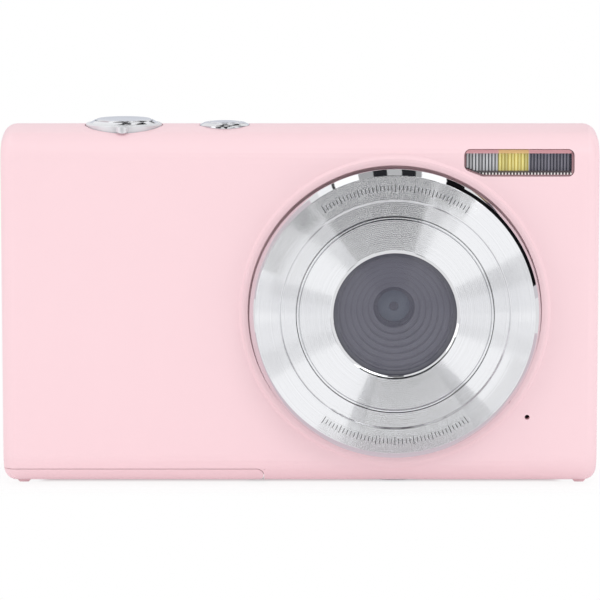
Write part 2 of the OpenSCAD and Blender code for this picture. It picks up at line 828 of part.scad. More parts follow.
// Black hood whose rings narrow towards the front lens
module lens_baffle() {
  mouth_r = window_r - 1;
  end_r = front_lens_r + 0.75;
  step_r = (mouth_r - end_r) / (baffle_steps - 1);
  step_d = (baffle_end - shelf_d) / baffle_steps;
  flange_r = cone_r - groove_w - baffle_step - play;
  flange_d = shelf_d + baffle_flange_t;
  stairs = [for (i = [0:baffle_steps - 1], j = [0, 1])
    [mouth_r - step_r * i, shelf_d + step_d * (i + j)]];
  color("#1b1b1d") place()
    turn_d(lens_x, lens_z)
      polygon(concat(stairs, [[end_r + baffle_wall, baffle_end], [mouth_r + baffle_wall, flange_d],
        [flange_r, flange_d], [flange_r, shelf_d]]));
}

// Barrel with its square base, bored for the two lenses and pocketed for the sensor
module lens_barrel() {
  rear_bore = barrel_d + 2.4;
  front_seat = 1.9;
  stop_w = 0.5;
  base_w = 2 * barrel_ear + 5;
  base_h = 18;
  base_r = 2.4;
  color("#222225") place() {
    difference() {
      union() {
        bar_d(lens_x, lens_z, barrel_r, barrel_d, barrel_base_d);
        sheet_d(barrel_base_d, sensor_board_d)
          translate([lens_x, lens_z]) polygon(round_rect(base_w, base_h, base_r));
      }
      bar_d(lens_x, lens_z, front_lens_r + pin_play, barrel_d - past, barrel_d + front_seat);
      bar_d(lens_x, lens_z, front_lens_r - stop_w, barrel_d, rear_bore + past);
      bar_d(lens_x, lens_z, front_lens_r + 2 * stop_w, rear_bore, barrel_base_d + past);
      sheet_d(filter_d, sensor_board_d + past)
        translate([lens_x, lens_z]) square([sensor_w + 1.6, sensor_h + 1.6], center = true);
      for (side = [-1, 1])
        bar_d(lens_x + side * barrel_ear, lens_z, screw_r + fit, barrel_base_d - past, sensor_board_d + past);
    }
  }
}

// Lens with a curved front and a flat back
module lens_element(r, d0, edge_t, rise) {
  ball = (r * r + rise * rise) / (2 * rise);
  half = asin(r / ball);
  back = d0 + rise + edge_t;
  face = [for (p = arc(0, 0, ball, -90, half - 90, 6)) [p[0], d0 + ball + p[1]]];
  turn_d(lens_x, lens_z) polygon(concat(face, [[r, back], [0, back]]));
}

module front_lens() {
  edge_t = 0.9;
  bulge = 0.6;
  color("#9fb4b8") place() lens_element(front_lens_r, lens_depth - fit, edge_t, bulge);
}

module rear_lens() {
  edge_t = 1;
  bulge = 0.7;
  color("#a9b9c0") place() lens_element(front_lens_r + edge_t - pin_play, barrel_d + 2.5, edge_t, bulge);
}

module ir_filter() {
  color("#7fb0a4") place()
    sheet_d(filter_d, filter_d + filter_t)
      translate([lens_x, lens_z]) square([sensor_w - 2 * play, sensor_h - 2 * play], center = true);
}

module image_sensor() {
  color("#30343c") place()
    sheet_d(filter_d + filter_t + play, sensor_board_d)
      translate([lens_x, lens_z]) square([sensor_w, sensor_h], center = true);
}

module sensor_board() {
  board_w = 20.4;
  board_h = 17;
  corner = 0.8;
  color("#2f6b45") place()
    sheet_d(sensor_board_d, sensor_board_d + sensor_board_t)
      translate([lens_x, lens_z]) polygon(round_rect(board_w, board_h, corner));
}

module sensor_connector() {
  half = 6;
  low = lens_z - 6.4;
  tall = 3.4;
  color("#d8cfb4") place()
    block(lens_x - half, lens_x + half, sensor_board_d + sensor_board_t, board_d, low, low + tall);
}

// Clear window that follows the shoulder of the case, ribbed on its inner face
module flash_window() {
  skin = 0.15;
  ribs = floor(flash_w / rib_pitch);
  back = flash_d + past;
  shoulder = concat([[skin, flash_low - past]], arc(edge_r, fillet_z, edge_r - skin, 180, 130, 8));
  comb = [for (i = [0:ribs], j = [0, 1])
    [flash_left + rib_pitch * (i + j / 2), flash_d - rib_h * j]];
  color([0.85, 0.85, 0.9, 0.6]) place()
    intersection() {
      sheet_x(flash_left, flash_right)
        polygon(concat(shoulder, [[back, shoulder[len(shoulder) - 1][1]], [back, flash_low - past]]));
      sheet_d(0, back) flash_outline(0);
      sheet_z(flash_low - past, flash_top + past)
        polygon(concat(comb, [[flash_right + past, flash_d], [flash_right + past, -past],
          [flash_left - past, -past], [flash_left - past, flash_d]]));
    }
}

// Hollow of the tray, wider at its mouth than at the light
module flash_hollow(z) {
  mouth_l = flash_left + 0.9;
  mouth_r = flash_right - 0.7;
  mouth_h = 1.4;
  end_h = 1.2;
  end_l = led_x - led_w / 2 - 3 * fit;
  end_r = led_x + led_w / 2 + 3 * fit;
  end_d = flash_board_d + past;
  points = [[end_l, end_d, z - end_h], [end_r, end_d, z - end_h], [end_r, end_d, z + end_h],
    [end_l, end_d, z + end_h], [mouth_l, flash_d, z - mouth_h], [mouth_r, flash_d, z - mouth_h],
    [mouth_r, flash_d, z + mouth_h], [mouth_l, flash_d, z + mouth_h]];
  polyhedron(points, [[0, 1, 2, 3], [7, 6, 5, 4], [4, 5, 1, 0], [5, 6, 2, 1], [6, 7, 3, 2], [7, 4, 0, 3]]);
}

// Bright tray that opens towards the window
module flash_reflector() {
  mid = flash_mid;
  half = 1.7;
  color("#d9dade") place()
    difference() {
      block(flash_left + 2 * play, flash_right - play, flash_d + play, flash_board_d, mid - half, mid + half);
      flash_hollow(mid);
    }
}

module flash_led() {
  half = 1.1;
  color("#ece58c") place()
    block(led_x - led_w / 2, led_x + led_w / 2, flash_board_d - led_t, flash_board_d,
      flash_mid - half, flash_mid + half);
}

module flash_board() {
  half = 1.9;
  thick = 0.8;
  color("#2f6b45") place()
    block(flash_left + 3 * play, flash_right - 2 * play, flash_board_d, flash_board_d + thick,
      flash_mid - half, flash_mid + half);
}

module microphone() {
  color("#b9bbc0") place() bar_d(mic_x, mic_z, capsule_r, wall + fit, wall + fit + capsule_t);
}

module speaker() {
  low = z_low + wall + fit;
  frame_h = 2.4;
  magnet_h = 0.5;
  color("#3c3c40") place() {
    sheet_z(low, low + frame_h)
      translate([speaker_x, speaker_d]) polygon(round_rect(14, 10, 2.4));
    sheet_z(low + frame_h, low + frame_h + magnet_h)
      translate([speaker_x, speaker_d]) polygon(round_rect(9, 6, 2));
  }
}

// Dished cap on a stem that reaches the shutter switch
module shutter_button() {
  slot_low = stem_end + clip_z;
  dish = 0.12;
  ease = 0.15;
  rim = 0.7;
  color("#d5d8de") place()
    turn_z(shutter_x)
      polygon([[0, stem_end], [stem_r, stem_end], [stem_r, slot_low], [stem_r - clip_deep, slot_low],
        [stem_r - clip_deep, slot_low + clip_slot], [stem_r, slot_low + clip_slot],
        [stem_r, cap_under], [shutter_r, cap_under], [shutter_r, shutter_top - ease],
        [shutter_r - ease, shutter_top], [shutter_r - rim, shutter_top - dish / 6],
        [shutter_r / 2, shutter_top - dish * 0.8], [0, shutter_top - dish]]);
}

// Return spring of the shutter button, one wire wound as a helix
module shutter_spring() {
  sides = 6;
  per_turn = 8;
  low = spring_seat + wire_r;
  rise = cap_under - wire_r - fit / 2 - low;
  rings = coils * per_turn;
  points = [for (i = [0:rings], j = [0:sides - 1])
    let(a = 360 * i / per_turn, b = 360 * j / sides, r = spring_r + wire_r * cos(b))
    [shutter_x + r * cos(a), shutter_d + r * sin(a), low + rise * i / rings + wire_r * sin(b)]];
  skin = [for (i = [0:rings - 1], j = [0:sides - 1], half = [0, 1])
    let(p = i * sides + j, q = i * sides + (j + 1) % sides)
    half == 0 ? [p, q, q + sides] : [p, q + sides, p + sides]];
  ends = [[for (j = [sides - 1:-1:0]) j], [for (j = [0:sides - 1]) rings * sides + j]];
  color("#c4c6ca") place() polyhedron(points, concat(skin, ends));
}

// Clip in the stem's groove that keeps the button in its sleeve
module shutter_clip() {
  low = stem_end + clip_z + pin_play;
  high = stem_end + clip_z + clip_slot - pin_play;
  mouth = 1.2;
  color("#c4c6ca") place()
    difference() {
      bar_z(shutter_x, shutter_d, stem_r + clip_r, low, high);
      bar_z(shutter_x, shutter_d, stem_r - clip_deep + pin_play, stem_end, stem_end + past);
      block(shutter_x - mouth, shutter_x + mouth, shutter_d, shutter_d + 2 * stem_r,
        stem_end, stem_end + past);
    }
}

// Ring with a coned top, a finger tab in front and a drive pin below
module zoom_lever() {
  tip = zoom_r + tab_l;
  half = tab_w / 2;
  tab_top = zoom_rim + 0.08;
  tab_low = zoom_rim - 1.15;
  root = 0.5 - zoom_r;
  ease = 0.1;
  bore = shutter_r + play;
  color("#dcdee2") place() {
    turn_z(shutter_x)
      polygon([[hub_r, zoom_bottom], [zoom_r, zoom_bottom], [zoom_r, zoom_rim - ease],
        [zoom_r - ease, zoom_rim], [zoom_r - 7 * ease, zoom_rim + 1.2 * ease],
        [bore + ease, zoom_top], [bore, zoom_top - ease], [bore, zoom_floor], [hub_r, zoom_floor]]);
    intersection() {
      translate([shutter_x - half, shutter_d, 0])
        rotate([90, 0, 90])
          linear_extrude(tab_w)
            polygon([[root, tab_top], [2 * ease - tip, tab_top], [-tip, tab_top - 2 * ease],
              [-tip, tab_low], [root, tab_low + 7 * ease]]);
      union() {
        bar_z(shutter_x, shutter_d - tip + half, half, zoom_bottom, zoom_top);
        block(shutter_x - half, shutter_x + half, shutter_d - tip + half, shutter_d, zoom_bottom, zoom_top);
      }
    }
    bar_z(shutter_x, shutter_d + drive_r, drive_pin_r, drive_end, zoom_bottom + play);
  }
}

// Plate under the top that carries the zoom lever's sleeve and the control board
module shutter_base() {
  root = 0.2;
  corner = 2;
  color("#2b2b2e") place()
    difference() {
      union() {
        sheet_z(plate_z, plate_z + plate_t)
          translate([shutter_x, shutter_d]) polygon(round_rect(2 * plate_half_w, 2 * plate_half_d, corner));
        bar_z(shutter_x, shutter_d, sleeve_r, plate_z, zoom_floor - press);
        bar_z(shutter_x, shutter_d, stem_r + 1, hub_end, plate_z + root);
        for (side = [-1, 1])
          bar_z(shutter_x + side * boss_x, shutter_d, boss_r, control_top, plate_z + root);
      }
      bar_z(shutter_x, shutter_d, stem_r + stem_play, hub_end - past, z_high);
      bar_z(shutter_x, shutter_d, spring_r + wire_r + play, spring_seat, z_high);
      for (side = [-1, 1])
        bar_z(shutter_x + side * boss_x, shutter_d, screw_r + fit, control_z, z_high);
    }
}

// Button whose flange is held below the bezel's tube
module power_button() {
  top = z_high + 0.5;
  flange = bezel_end - 0.3;
  flange_t = 0.6;
  tip_r = 1.2;
  tip_z = switch_top + key_travel + fit;
  ease = 0.15;
  color("#d5d8de") place()
    turn_z(power_x)
      polygon([[0, tip_z], [tip_r, tip_z], [tip_r, flange - flange_t],
        [power_r + flange_t, flange - flange_t], [power_r + flange_t, flange], [power_r, flange],
        [power_r, top - ease], [power_r - ease, top], [power_r - 0.5, top - press], [0, top - 0.2]]);
}

module power_bezel() {
  bore = power_r + play / 2;
  slope_w = 0.7;
  slope_h = 0.36;
  crest = 0.42;
  color("#e2e3e6") place()
    turn_z(power_x)
      polygon([[bore, bezel_end], [bezel_tube_r, bezel_end], [bezel_tube_r, bezel_seat],
        [bezel_r, bezel_seat], [bezel_r, z_high], [bezel_r - slope_w, z_high + slope_h],
        [bore + 0.25, z_high + crest], [bore, z_high + crest / 2]]);
}

module control_board() {
  color("#2f6b45") place()
    difference() {
      block(shutter_x - plate_half_w, power_x + 5, control_d0, control_d1, control_z, control_top);
      for (side = [-1, 1])
        bar_z(shutter_x + side * boss_x, shutter_d, screw_r + fit, control_z - past, control_top + past);
    }
}

// The two press switches, for the shutter and the power button
module button_switches() {
  half = 2.3;
  dome_r = 1.3;
  proud = 0.15;
  color("#b9bbc0") place()
    for (x = [shutter_x, power_x]) {
      block(x - half, x + half, shutter_d - half, shutter_d + half, control_top, switch_top - proud);
      bar_z(x, shutter_d, dome_r, switch_top - proud - fit, switch_top);
    }
}

// Two leaf contacts that the zoom lever's drive pin swings between
module zoom_switch() {
  leaf = 0.4;
  leaf_w = 0.9;
  reach = drive_r * sin(zoom_turn) + drive_pin_r + fit;
  mid = shutter_d + drive_r;
  start = mid - 0.6;
  color("#c9b27a") place() {
    block(shutter_x - reach - leaf, shutter_x + reach + leaf, start - fit, control_d1,
      control_top, control_top + leaf);
    for (side = [-1, 1])
      translate([shutter_x + side * (reach + leaf / 2) - leaf / 2, start, control_top])
        cube([leaf, leaf_w, drive_end + 3 * leaf - control_top]);
  }
}

module main_board() {
  low = z_low + 7.9;
  high = z_high - 8.6;
  color("#2f6b45") place()
    difference() {
      block(battery_left - 2 * play, x_right - 4.6, board_d, board_back, low, high);
      for (p = concat(board_posts_frame, board_posts_cover))
        bar_d(p[0], p[1], screw_r + fit, board_d - past, board_back + past);
    }
}

// Processor, memory, crystal and capacitors on the front of the main board
module board_chips() {
  chip_top = lens_z + 19.6;
  thick = 1.2;
  mid = 1;
  thin = 0.8;
  pitch = 2.6;
  long = 1.6;
  row = lens_x - 14;
  color("#26282c") place() {
    block(x_right - 17, x_right - 6.5, board_d - thick, board_d, z_mid + 0.5, z_mid + 11);
    block(lens_x + 4, lens_x + 13, board_d - mid, board_d, chip_top - 8, chip_top);
    block(lens_x - pitch, lens_x + 0.6, board_d - thin, board_d, chip_top - 2.4, chip_top);
    for (i = [0:3], j = [0, 1])
      block(row + pitch * i, row + pitch * i + long, board_d - thin, board_d,
        chip_top - thin - 3 * thin * j, chip_top - 3 * thin * j);
  }
}

module lcd_panel() {
  half_w = lcd_w / 2 - lcd_in - fit;
  half_h = lcd_h / 2 - lcd_in - fit;
  low = tray_d + tray_t;
  color("#1a1c22") place()
    block(lcd_x - half_w, lcd_x + half_w, low, low + panel_t, z_mid - half_h, z_mid + half_h);
}

// Pressed tray that holds the screen against the rear cover
module lcd_frame() {
  half_w = lcd_w / 2 - lcd_in;
  half_h = lcd_h / 2 - lcd_in;
  rim = 0.5;
  color("#b9bbc0") place()
    difference() {
      block(lcd_x - half_w - rim, lcd_x + half_w + rim, tray_d, d_back,
        z_mid - half_h - rim, z_mid + half_h + rim);
      block(lcd_x - half_w, lcd_x + half_w, tray_d + tray_t, d_back + past,
        z_mid - half_h, z_mid + half_h);
      block(lcd_x - ribbon_w / 2 - 1, lcd_x + ribbon_w / 2 + 1, tray_d - past, tray_d + tray_t + past,
        z_mid - 12, z_mid - 8);
    }
}

module lcd_window() {
  corner = 1.4;
  color("#15161a") place()
    sheet_d(body_d - lcd_recess, body_d - fit)
      translate([lcd_x, z_mid]) polygon(round_rect(lcd_w, lcd_h, corner));
}

// Flat cable from the screen through the tray's slot to the main board
module lcd_ribbon() {
  thick = 0.15;
  top = z_mid - 4;
  bend = z_mid - 9;
  panel_d = tray_d + tray_t;
  color("#c98b3a") place()
    sheet_x(lcd_x - ribbon_w / 2, lcd_x + ribbon_w / 2)
      polygon([[board_back, top], [board_back + thick, top], [board_back + thick, bend],
        [panel_d, bend - 2 * play], [panel_d, bend - 3 * play], [board_back, bend - thick]]);
}

// Round key with a flange inside the cover and a plunger over its dome
module round_key(x, z, r) {
  tip_r = 1;
  ease = 0.3;
  top = body_d + key_rise;
  flange_end = key_flange_d + key_flange_t;
  turn_d(x, z)
    polygon([[0, key_tip_d], [tip_r, key_tip_d], [tip_r, key_flange_d], [r + key_flange, key_flange_d],
      [r + key_flange, flange_end], [r, flange_end], [r, top - ease], [r - ease, top], [0, top]]);
}

// Round key with a mark engraved in its top
module marked_key(i, j) {
  x = keys_x + i * key_dx;
  z = z_mid + j * key_dz;
  color("#e8e3e4") place()
    difference() {
      round_key(x, z, key_r);
      sheet_d(body_d + key_rise - mark_deep, body_d + key_rise + past) translate([x, z]) children();
    }
}

// A ring for the shooting mode
module key_mode()
  marked_key(-1, 1)
    difference() {
      circle(r = mark_r);
      circle(r = mark_r - mark_w);
    }

// A triangle for playback, which points right as seen from behind
module key_play()
  marked_key(1, 1)
    polygon([[mark_r * 0.6, -mark_r], [mark_r * 0.6, mark_r], [-mark_r, 0]]);

// Three bars for the menu
module key_menu()
  marked_key(-1, -1)
    for (i = [-1:1])
      translate([0, mark_gap * i]) square([2 * mark_r, mark_w], center = true);

// A bin for deleting
module key_delete()
  marked_key(1, -1) {
    polygon([[-0.7, -mark_r], [0.7, -mark_r], [0.85, 0.35], [-0.85, 0.35]]);
    translate([0, mark_gap]) square([2 * mark_r, mark_w], center = true);
  }

// Centre key, which passes through the ring and the rocker
module key_ok() {
  tip_r = 1;
  ease = 0.3;
  low = nav_pivot_d - 0.6;
  top = body_d + key_rise - 0.2;
  color("#e8e3e4") place()
    turn_d(keys_x, z_mid)
      polygon([[0, key_tip_d], [tip_r, key_tip_d], [tip_r, low], [ok_r, low], [ok_r, top - ease],
        [ok_r - ease, top], [0, top]]);
}

// Ring that rocks up and down on two ridges of the rocker
module nav_ring() {
  low = nav_pivot_d;
  flange_t = 0.7;
  outer = nav_r - fit;
  top = body_d + key_rise - fit;
  valley = top - 0.15;
  valley_r = nav_r - 2.6;
  rim = 0.4;
  arrow = nav_r - 3;
  ridge_x = 6.6;
  ridge_half = 1.6;
  color("#d5d8de") place() {
    difference() {
      turn_d(keys_x, z_mid)
        polygon([[nav_bore_r, low], [nav_flange_r, low], [nav_flange_r, low + flange_t],
          [outer, low + flange_t], [outer, body_d], [outer - rim, top], [valley_r, valley],
          [nav_bore_r + rim, top], [nav_bore_r, top - 0.3]]);
      for (turn = [0:90:270])
        sheet_d(valley - mark_deep, body_d + key_rise + past)
          translate([keys_x, z_mid]) rotate(turn)
            polygon([[arrow + 1, 0], [arrow, -0.7], [arrow, 0.7]]);
    }
    for (side = [-1, 1])
      bar_x(nav_pivot_d, z_mid, ridge_r, keys_x + side * ridge_x - ridge_half,
        keys_x + side * ridge_x + ridge_half);
  }
}

// Plate under the ring that rocks sideways on two ridges of its own
module nav_rocker() {
  ridge_z = 8.2;
  ridge_half = 0.6;
  color("#6d7076") place() {
    difference() {
      bar_d(keys_x, z_mid, rocker_out_r, rocker_d, rocker_d + rocker_t);
      bar_d(keys_x, z_mid, rocker_in_r, rocker_d - past, rocker_d + rocker_t + past);
    }
    for (side = [-1, 1])
      bar_z(keys_x, rocker_pivot_d, ridge_r, z_mid + side * ridge_z - ridge_half,
        z_mid + side * ridge_z + ridge_half);
  }
}

// Snap domes under the keys and contact pads under the ring's rocker, on the back of the main board
module key_domes() {
  dome_r = 1.6;
  color("#c9b27a") place() {
    for (i = [-1, 1], j = [-1, 1])
      bar_d(keys_x + i * key_dx, z_mid + j * key_dz, dome_r, board_back, board_back + dome_h);
    bar_d(keys_x, z_mid, dome_r, board_back, board_back + dome_h);
    for (side = [-1, 1]) bar_d(keys_x + side * pad_x, z_mid, pad_r, board_back, board_back + pad_t);
  }
}

// Light pipe from the main board to the rear face
module indicator_light() {
  root_r = 1.3;
  root_end = d_back - 0.2;
  dome = 0.1;
  color("#f2f4e8") place()
    turn_d(keys_x, z_mid + light_dz)
      polygon([[0, board_back], [root_r, board_back], [root_r, root_end], [light_r, root_end],
        [light_r, body_d], [light_r - 2 * dome, body_d + dome], [0, body_d + dome]]);
}

// Cell with three contact lands in its top edge
module battery() {
  corner = 1.2;
  land_half = 1.4;
  land_d = battery_d + 1.4;
  land_deep = 0.3;
  color("#3b3e44") place()
    difference() {
      sheet_z(battery_z, battery_top)
        translate([(battery_left + battery_right) / 2, battery_d + battery_t / 2])
          polygon(round_rect(battery_w, battery_t, corner));
      for (i = [-1:1])
        block(card_x + land_pitch * i - land_half, card_x + land_pitch * i + land_half, land_d,
          land_d + 2 * land_half, battery_top - land_deep, battery_top + past);
    }
}

// Three bent leaves that run from the battery's lands to the main board
module battery_contacts() {
  leaf = 0.35;
  half = 0.7;
  toe = 1;
  low = battery_top - 0.25;
  high = bay_top + bay_wall + 1;
  start = battery_d + 2.3;
  color("#d2b45c") place()
    for (i = [-1:1])
      sheet_x(card_x + land_pitch * i - half, card_x + land_pitch * i + half)
        polygon([[start, low], [start + toe, low], [start + toe, low + leaf],
          [start + leaf, low + leaf],
          [start + leaf, high - leaf], [board_d, high - leaf], [board_d, high], [start, high]]);
}

// Pressed shell of the card slot, open at its foot
module card_slot() {
  half = card_w / 2 + 2 * play;
  low = card_z + 3.4;
  high = card_z + card_l + 0.9;
  outer = half + slot_wall;
  color("#b9bbc0") place()
    difference() {
      block(card_x - outer, card_x + outer, slot_d, board_d, low, high);
      block(card_x - half, card_x + half, slot_d + slot_wall, board_d - slot_wall + fit,
        low - past, high - slot_wall);
    }
}

module memory_card() {
  half = card_w / 2;
  cut = 4;
  color("#26282c") place()
    sheet_d(slot_d + slot_wall + fit / 2, slot_d + slot_wall + card_t)
      polygon([[card_x - half, card_z], [card_x + half, card_z], [card_x + half, card_z + card_l],
        [card_x - half + cut, card_z + card_l], [card_x - half, card_z + card_l - cut]]);
}

// Round-ended shell with its tongue inside
module usb_socket() {
  outer = x_right - 0.4;
  inner = outer - usb_l;
  shell = 0.3;
  back = 1.2;
  tongue_t = 0.7;
  tongue_half = usb_w / 2 - 1.12;
  end = usb_h / 2 - pin_play;
  color("#b9bbc0") place() {
    difference() {
      sheet_x(inner, outer)
        translate([usb_d, usb_z]) polygon(round_rect(usb_h, usb_w, end));
      sheet_x(inner + back, outer + past)
        translate([usb_d, usb_z]) polygon(round_rect(usb_h - 2 * shell, usb_w - 2 * shell, end - shell));
    }
    block(inner + back - play, outer - 3 * shell, usb_d - tongue_t / 2, usb_d + tongue_t / 2,
      usb_z - tongue_half, usb_z + tongue_half);
  }
}

// Threaded insert pressed into the bottom, its thread kept as a plain bore
module tripod_nut() {
  low = z_low - tripod_proud;
  color("#c4c6ca") place()
    difference() {
      union() {
        bar_z(lens_x, tripod_d, tripod_nut_r, z_low + press, z_low + tripod_l + tripod_cap);
        bar_z(lens_x, tripod_d, tripod_flange_r, low, z_low + past);
      }
      bar_z(lens_x, tripod_d, tripod_r, low - past, low + tripod_l);
    }
}

module strap_bar() {
  half = strap_h / 2 + strap_hold;
  color("#c4c6ca") place() bar_z(strap_x, strap_d, strap_r, strap_z - half, strap_z + half);
}

// Screw through an end wall into a lug of the rear cover
module case_screw(side, z) {
  length = 3;
  translate([side * (x_right - case_screw_seat), case_screw_d, z]) rotate([0, side * 90, 0]) screw(length);
}

module case_screws() {
  color("#c4c6ca") place() {
    for (z = right_lugs) case_screw(1, z);
    for (z = left_lugs) case_screw(-1, z);
  }
}

module frame_screws() {
  length = 3.4;
  color("#8f9197") place() for (p = frame_posts) screw_d(p[0], p[1], bay_end, length);
}

module board_screws() {
  length = 3.2;
  color("#8f9197") place()
    for (p = concat(board_posts_frame, board_posts_cover)) screw_d(p[0], p[1], board_back, length);
}

module lens_screws() {
  ring_length = 3.6;
  barrel_length = 4.4;
  color("#8f9197") place() {
    for (i = [0:2]) at_lens(90 + 120 * i, ring_screw_r) screw_d(0, 0, boss_d, ring_length);
    for (side = [-1, 1]) screw_d(lens_x + side * barrel_ear, lens_z, sensor_board_d, barrel_length);
  }
}

module control_screws() {
  color("#8f9197") place()
    for (side = [-1, 1])
      translate([shutter_x + side * boss_x, shutter_d, control_z])
        rotate([180, 0, 0]) screw(z_high - wall - 0.2 - control_z);
}

front_cover();
rear_cover();
mid_frame();
battery_door();
door_pad();
hinge_pin();
lens_ring();
lens_cone();
lens_window();
lens_baffle();
lens_barrel();
front_lens();
rear_lens();
ir_filter();
image_sensor();
sensor_board();
sensor_connector();
flash_window();
flash_reflector();
flash_led();
flash_board();
microphone();
speaker();
shutter_button();
shutter_spring();
shutter_clip();
zoom_lever();
shutter_base();
power_button();
power_bezel();
control_board();
button_switches();
zoom_switch();
main_board();
board_chips();
lcd_panel();
lcd_frame();
lcd_window();
lcd_ribbon();
key_mode();
key_play();
key_menu();
key_delete();
key_ok();
nav_ring();
nav_rocker();
key_domes();
indicator_light();
battery();
battery_contacts();
card_slot();
memory_card();
usb_socket();
tripod_nut();
strap_bar();
case_screws();
frame_screws();
board_screws();
lens_screws();
control_screws();
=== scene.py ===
# %% [markdown]
# # A pale pink compact camera
# The camera was modelled in CAD as sixty separate pieces. This lesson dresses that model: every piece that
# shows gets a mesh with soft edges and a finish made of nodes. Each one stays in its CAD place, so nothing
# has to be fitted.

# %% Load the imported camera
import json
import math

import bmesh
import bpy
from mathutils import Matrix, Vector
from mathutils.bvhtree import BVHTree


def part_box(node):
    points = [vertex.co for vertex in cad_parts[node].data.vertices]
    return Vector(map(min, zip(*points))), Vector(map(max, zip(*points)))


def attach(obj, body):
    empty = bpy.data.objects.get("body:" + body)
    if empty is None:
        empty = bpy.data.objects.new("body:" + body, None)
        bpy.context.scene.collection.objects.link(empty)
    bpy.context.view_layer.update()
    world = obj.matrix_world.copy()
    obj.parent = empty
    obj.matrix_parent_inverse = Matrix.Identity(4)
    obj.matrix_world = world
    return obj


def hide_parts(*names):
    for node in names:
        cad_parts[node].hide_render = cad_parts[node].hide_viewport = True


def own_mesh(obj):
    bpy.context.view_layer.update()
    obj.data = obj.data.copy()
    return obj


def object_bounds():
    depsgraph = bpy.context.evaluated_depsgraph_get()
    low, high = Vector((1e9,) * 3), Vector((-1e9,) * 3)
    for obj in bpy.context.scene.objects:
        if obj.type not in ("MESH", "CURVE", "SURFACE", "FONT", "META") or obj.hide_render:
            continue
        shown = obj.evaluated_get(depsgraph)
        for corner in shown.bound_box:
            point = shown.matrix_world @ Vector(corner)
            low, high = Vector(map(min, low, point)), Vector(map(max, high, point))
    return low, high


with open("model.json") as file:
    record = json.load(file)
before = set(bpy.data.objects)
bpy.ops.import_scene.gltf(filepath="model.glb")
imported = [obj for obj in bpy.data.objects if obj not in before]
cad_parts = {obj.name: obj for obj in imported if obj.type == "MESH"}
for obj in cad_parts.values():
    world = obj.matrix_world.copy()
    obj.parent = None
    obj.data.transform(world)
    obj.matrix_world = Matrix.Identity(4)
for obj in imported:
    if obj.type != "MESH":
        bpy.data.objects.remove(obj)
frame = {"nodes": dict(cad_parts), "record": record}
cad_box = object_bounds()
record = frame["record"]
slot_of = {part["node"]: part["material_slot"] for part in record["subparts"]}
body_of = {node: body for body, nodes in record["behaviour"]["bodies"].items() for node in nodes}
MM = 0.001
print("loaded", len(frame["nodes"]), "nodes, box", [round(v / MM, 1) for corner in cad_box for v in corner])

# %% [markdown]
# ## Places that the finishes need
# Everything on the lens is turned about one axis, and depths are counted from the flat of the front cover.
# The lens ring stands 4.4 mm proud of that flat, so the ring's own box gives the axis and the flat.

# %% Lens axis, front flat and other places
RING_RISE = 4.4 * MM
ring_low, ring_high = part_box("lens_ring")
FRONT = ring_low.y + RING_RISE
LENS = Vector(((ring_low.x + ring_high.x) / 2, FRONT, (ring_low.z + ring_high.z) / 2))
flash_low, flash_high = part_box("flash_window")
led_low, led_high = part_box("flash_led")
screen_low, screen_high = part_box("lcd_window")
key_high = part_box("key_mode")[1]
print("lens axis at", [round(v / MM, 2) for v in LENS])

# %% [markdown]
# ## Writing node maths as sums
# A finish is a small sum: a roughness is a base plus a share of a noise. One class wraps a socket so that
# Python's own operators add the Math nodes, and one method makes any other node. The nodes could be placed
# one by one instead, but then a sum of five terms takes a page. The class serves materials and geometry
# trees alike.


# %% Sockets that can be added and multiplied
class Wire:
    """An output socket of a node tree, with arithmetic."""

    def __init__(self, tree, socket):
        self.tree = tree
        self.socket = socket

    def node(self, kind, settings=(), inputs=(), output=0):
        """Makes a node: its settings first, then the values or links of its sockets."""
        made = self.tree.nodes.new(kind)
        for name, value in dict(settings).items():
            setattr(made, name, value)
        for name, value in dict(inputs).items():
            if isinstance(value, Wire):
                self.tree.links.new(value.socket, made.inputs[name])
            else:
                made.inputs[name].default_value = value
        return Wire(self.tree, made.outputs[output])

    def sum(self, operation, *values):
        return self.node("ShaderNodeMath", {"operation": operation}, dict(enumerate(values)))

    def vector(self, operation, *values, output=0):
        return self.node("ShaderNodeVectorMath", {"operation": operation}, dict(enumerate(values)), output)

    def scaled(self, share):
        """A vector or colour times a number."""
        return self.node("ShaderNodeVectorMath", {"operation": "SCALE"}, {0: self, "Scale": share})

    def parts(self):
        """The three numbers of a vector, each as a wire."""
        split = self.node("ShaderNodeSeparateXYZ", {}, {0: self}).socket.node
        return [Wire(self.tree, socket) for socket in split.outputs]

    def mix(self, low, high):
        """A colour between two others, with this value as the share of the second."""
        return self.node("ShaderNodeMix", {"data_type": "RGBA"}, {0: self, 6: low, 7: high}, 2)

    def most(self, *others):
        """The greatest of this value and others."""
        best = self
        for other in others:
            best = best.sum("MAXIMUM", best, other)
        return best

    def past(self, start, end):
        """0 before start and 1 after end, with a soft change between."""
        return self.node("ShaderNodeMapRange", {"interpolation_type": "SMOOTHSTEP"},
                         {"Value": self, "From Min": start, "From Max": end})

    def __add__(self, other):
        return self.sum("ADD", self, other)

    def __radd__(self, other):
        return self.sum("ADD", other, self)

    def __sub__(self, other):
        return self.sum("SUBTRACT", self, other)

    def __rsub__(self, other):
        return self.sum("SUBTRACT", other, self)

    def __mul__(self, other):
        return self.sum("MULTIPLY", self, other)

    def __rmul__(self, other):
        return self.sum("MULTIPLY", other, self)

    def __truediv__(self, other):
        return self.sum("DIVIDE", self, other)

    def __rtruediv__(self, other):
        return self.sum("DIVIDE", other, self)


print("sums of sockets ready")


# %% Colours and new finishes
def screen_colour(red, green, blue):
    """A colour as a screen shows it, 0 to 255, turned into light."""
    shares = [v / 255 for v in (red, green, blue)]
    light = [v / 12.92 if v <= 0.04045 else ((v + 0.055) / 1.055) ** 2.4 for v in shares]
    return (*light, 1.0)


def shaded(colour, share):
    """A colour made darker: this share of its light."""
    return (*[v * share for v in colour[:3]], 1.0)


finishes = {}


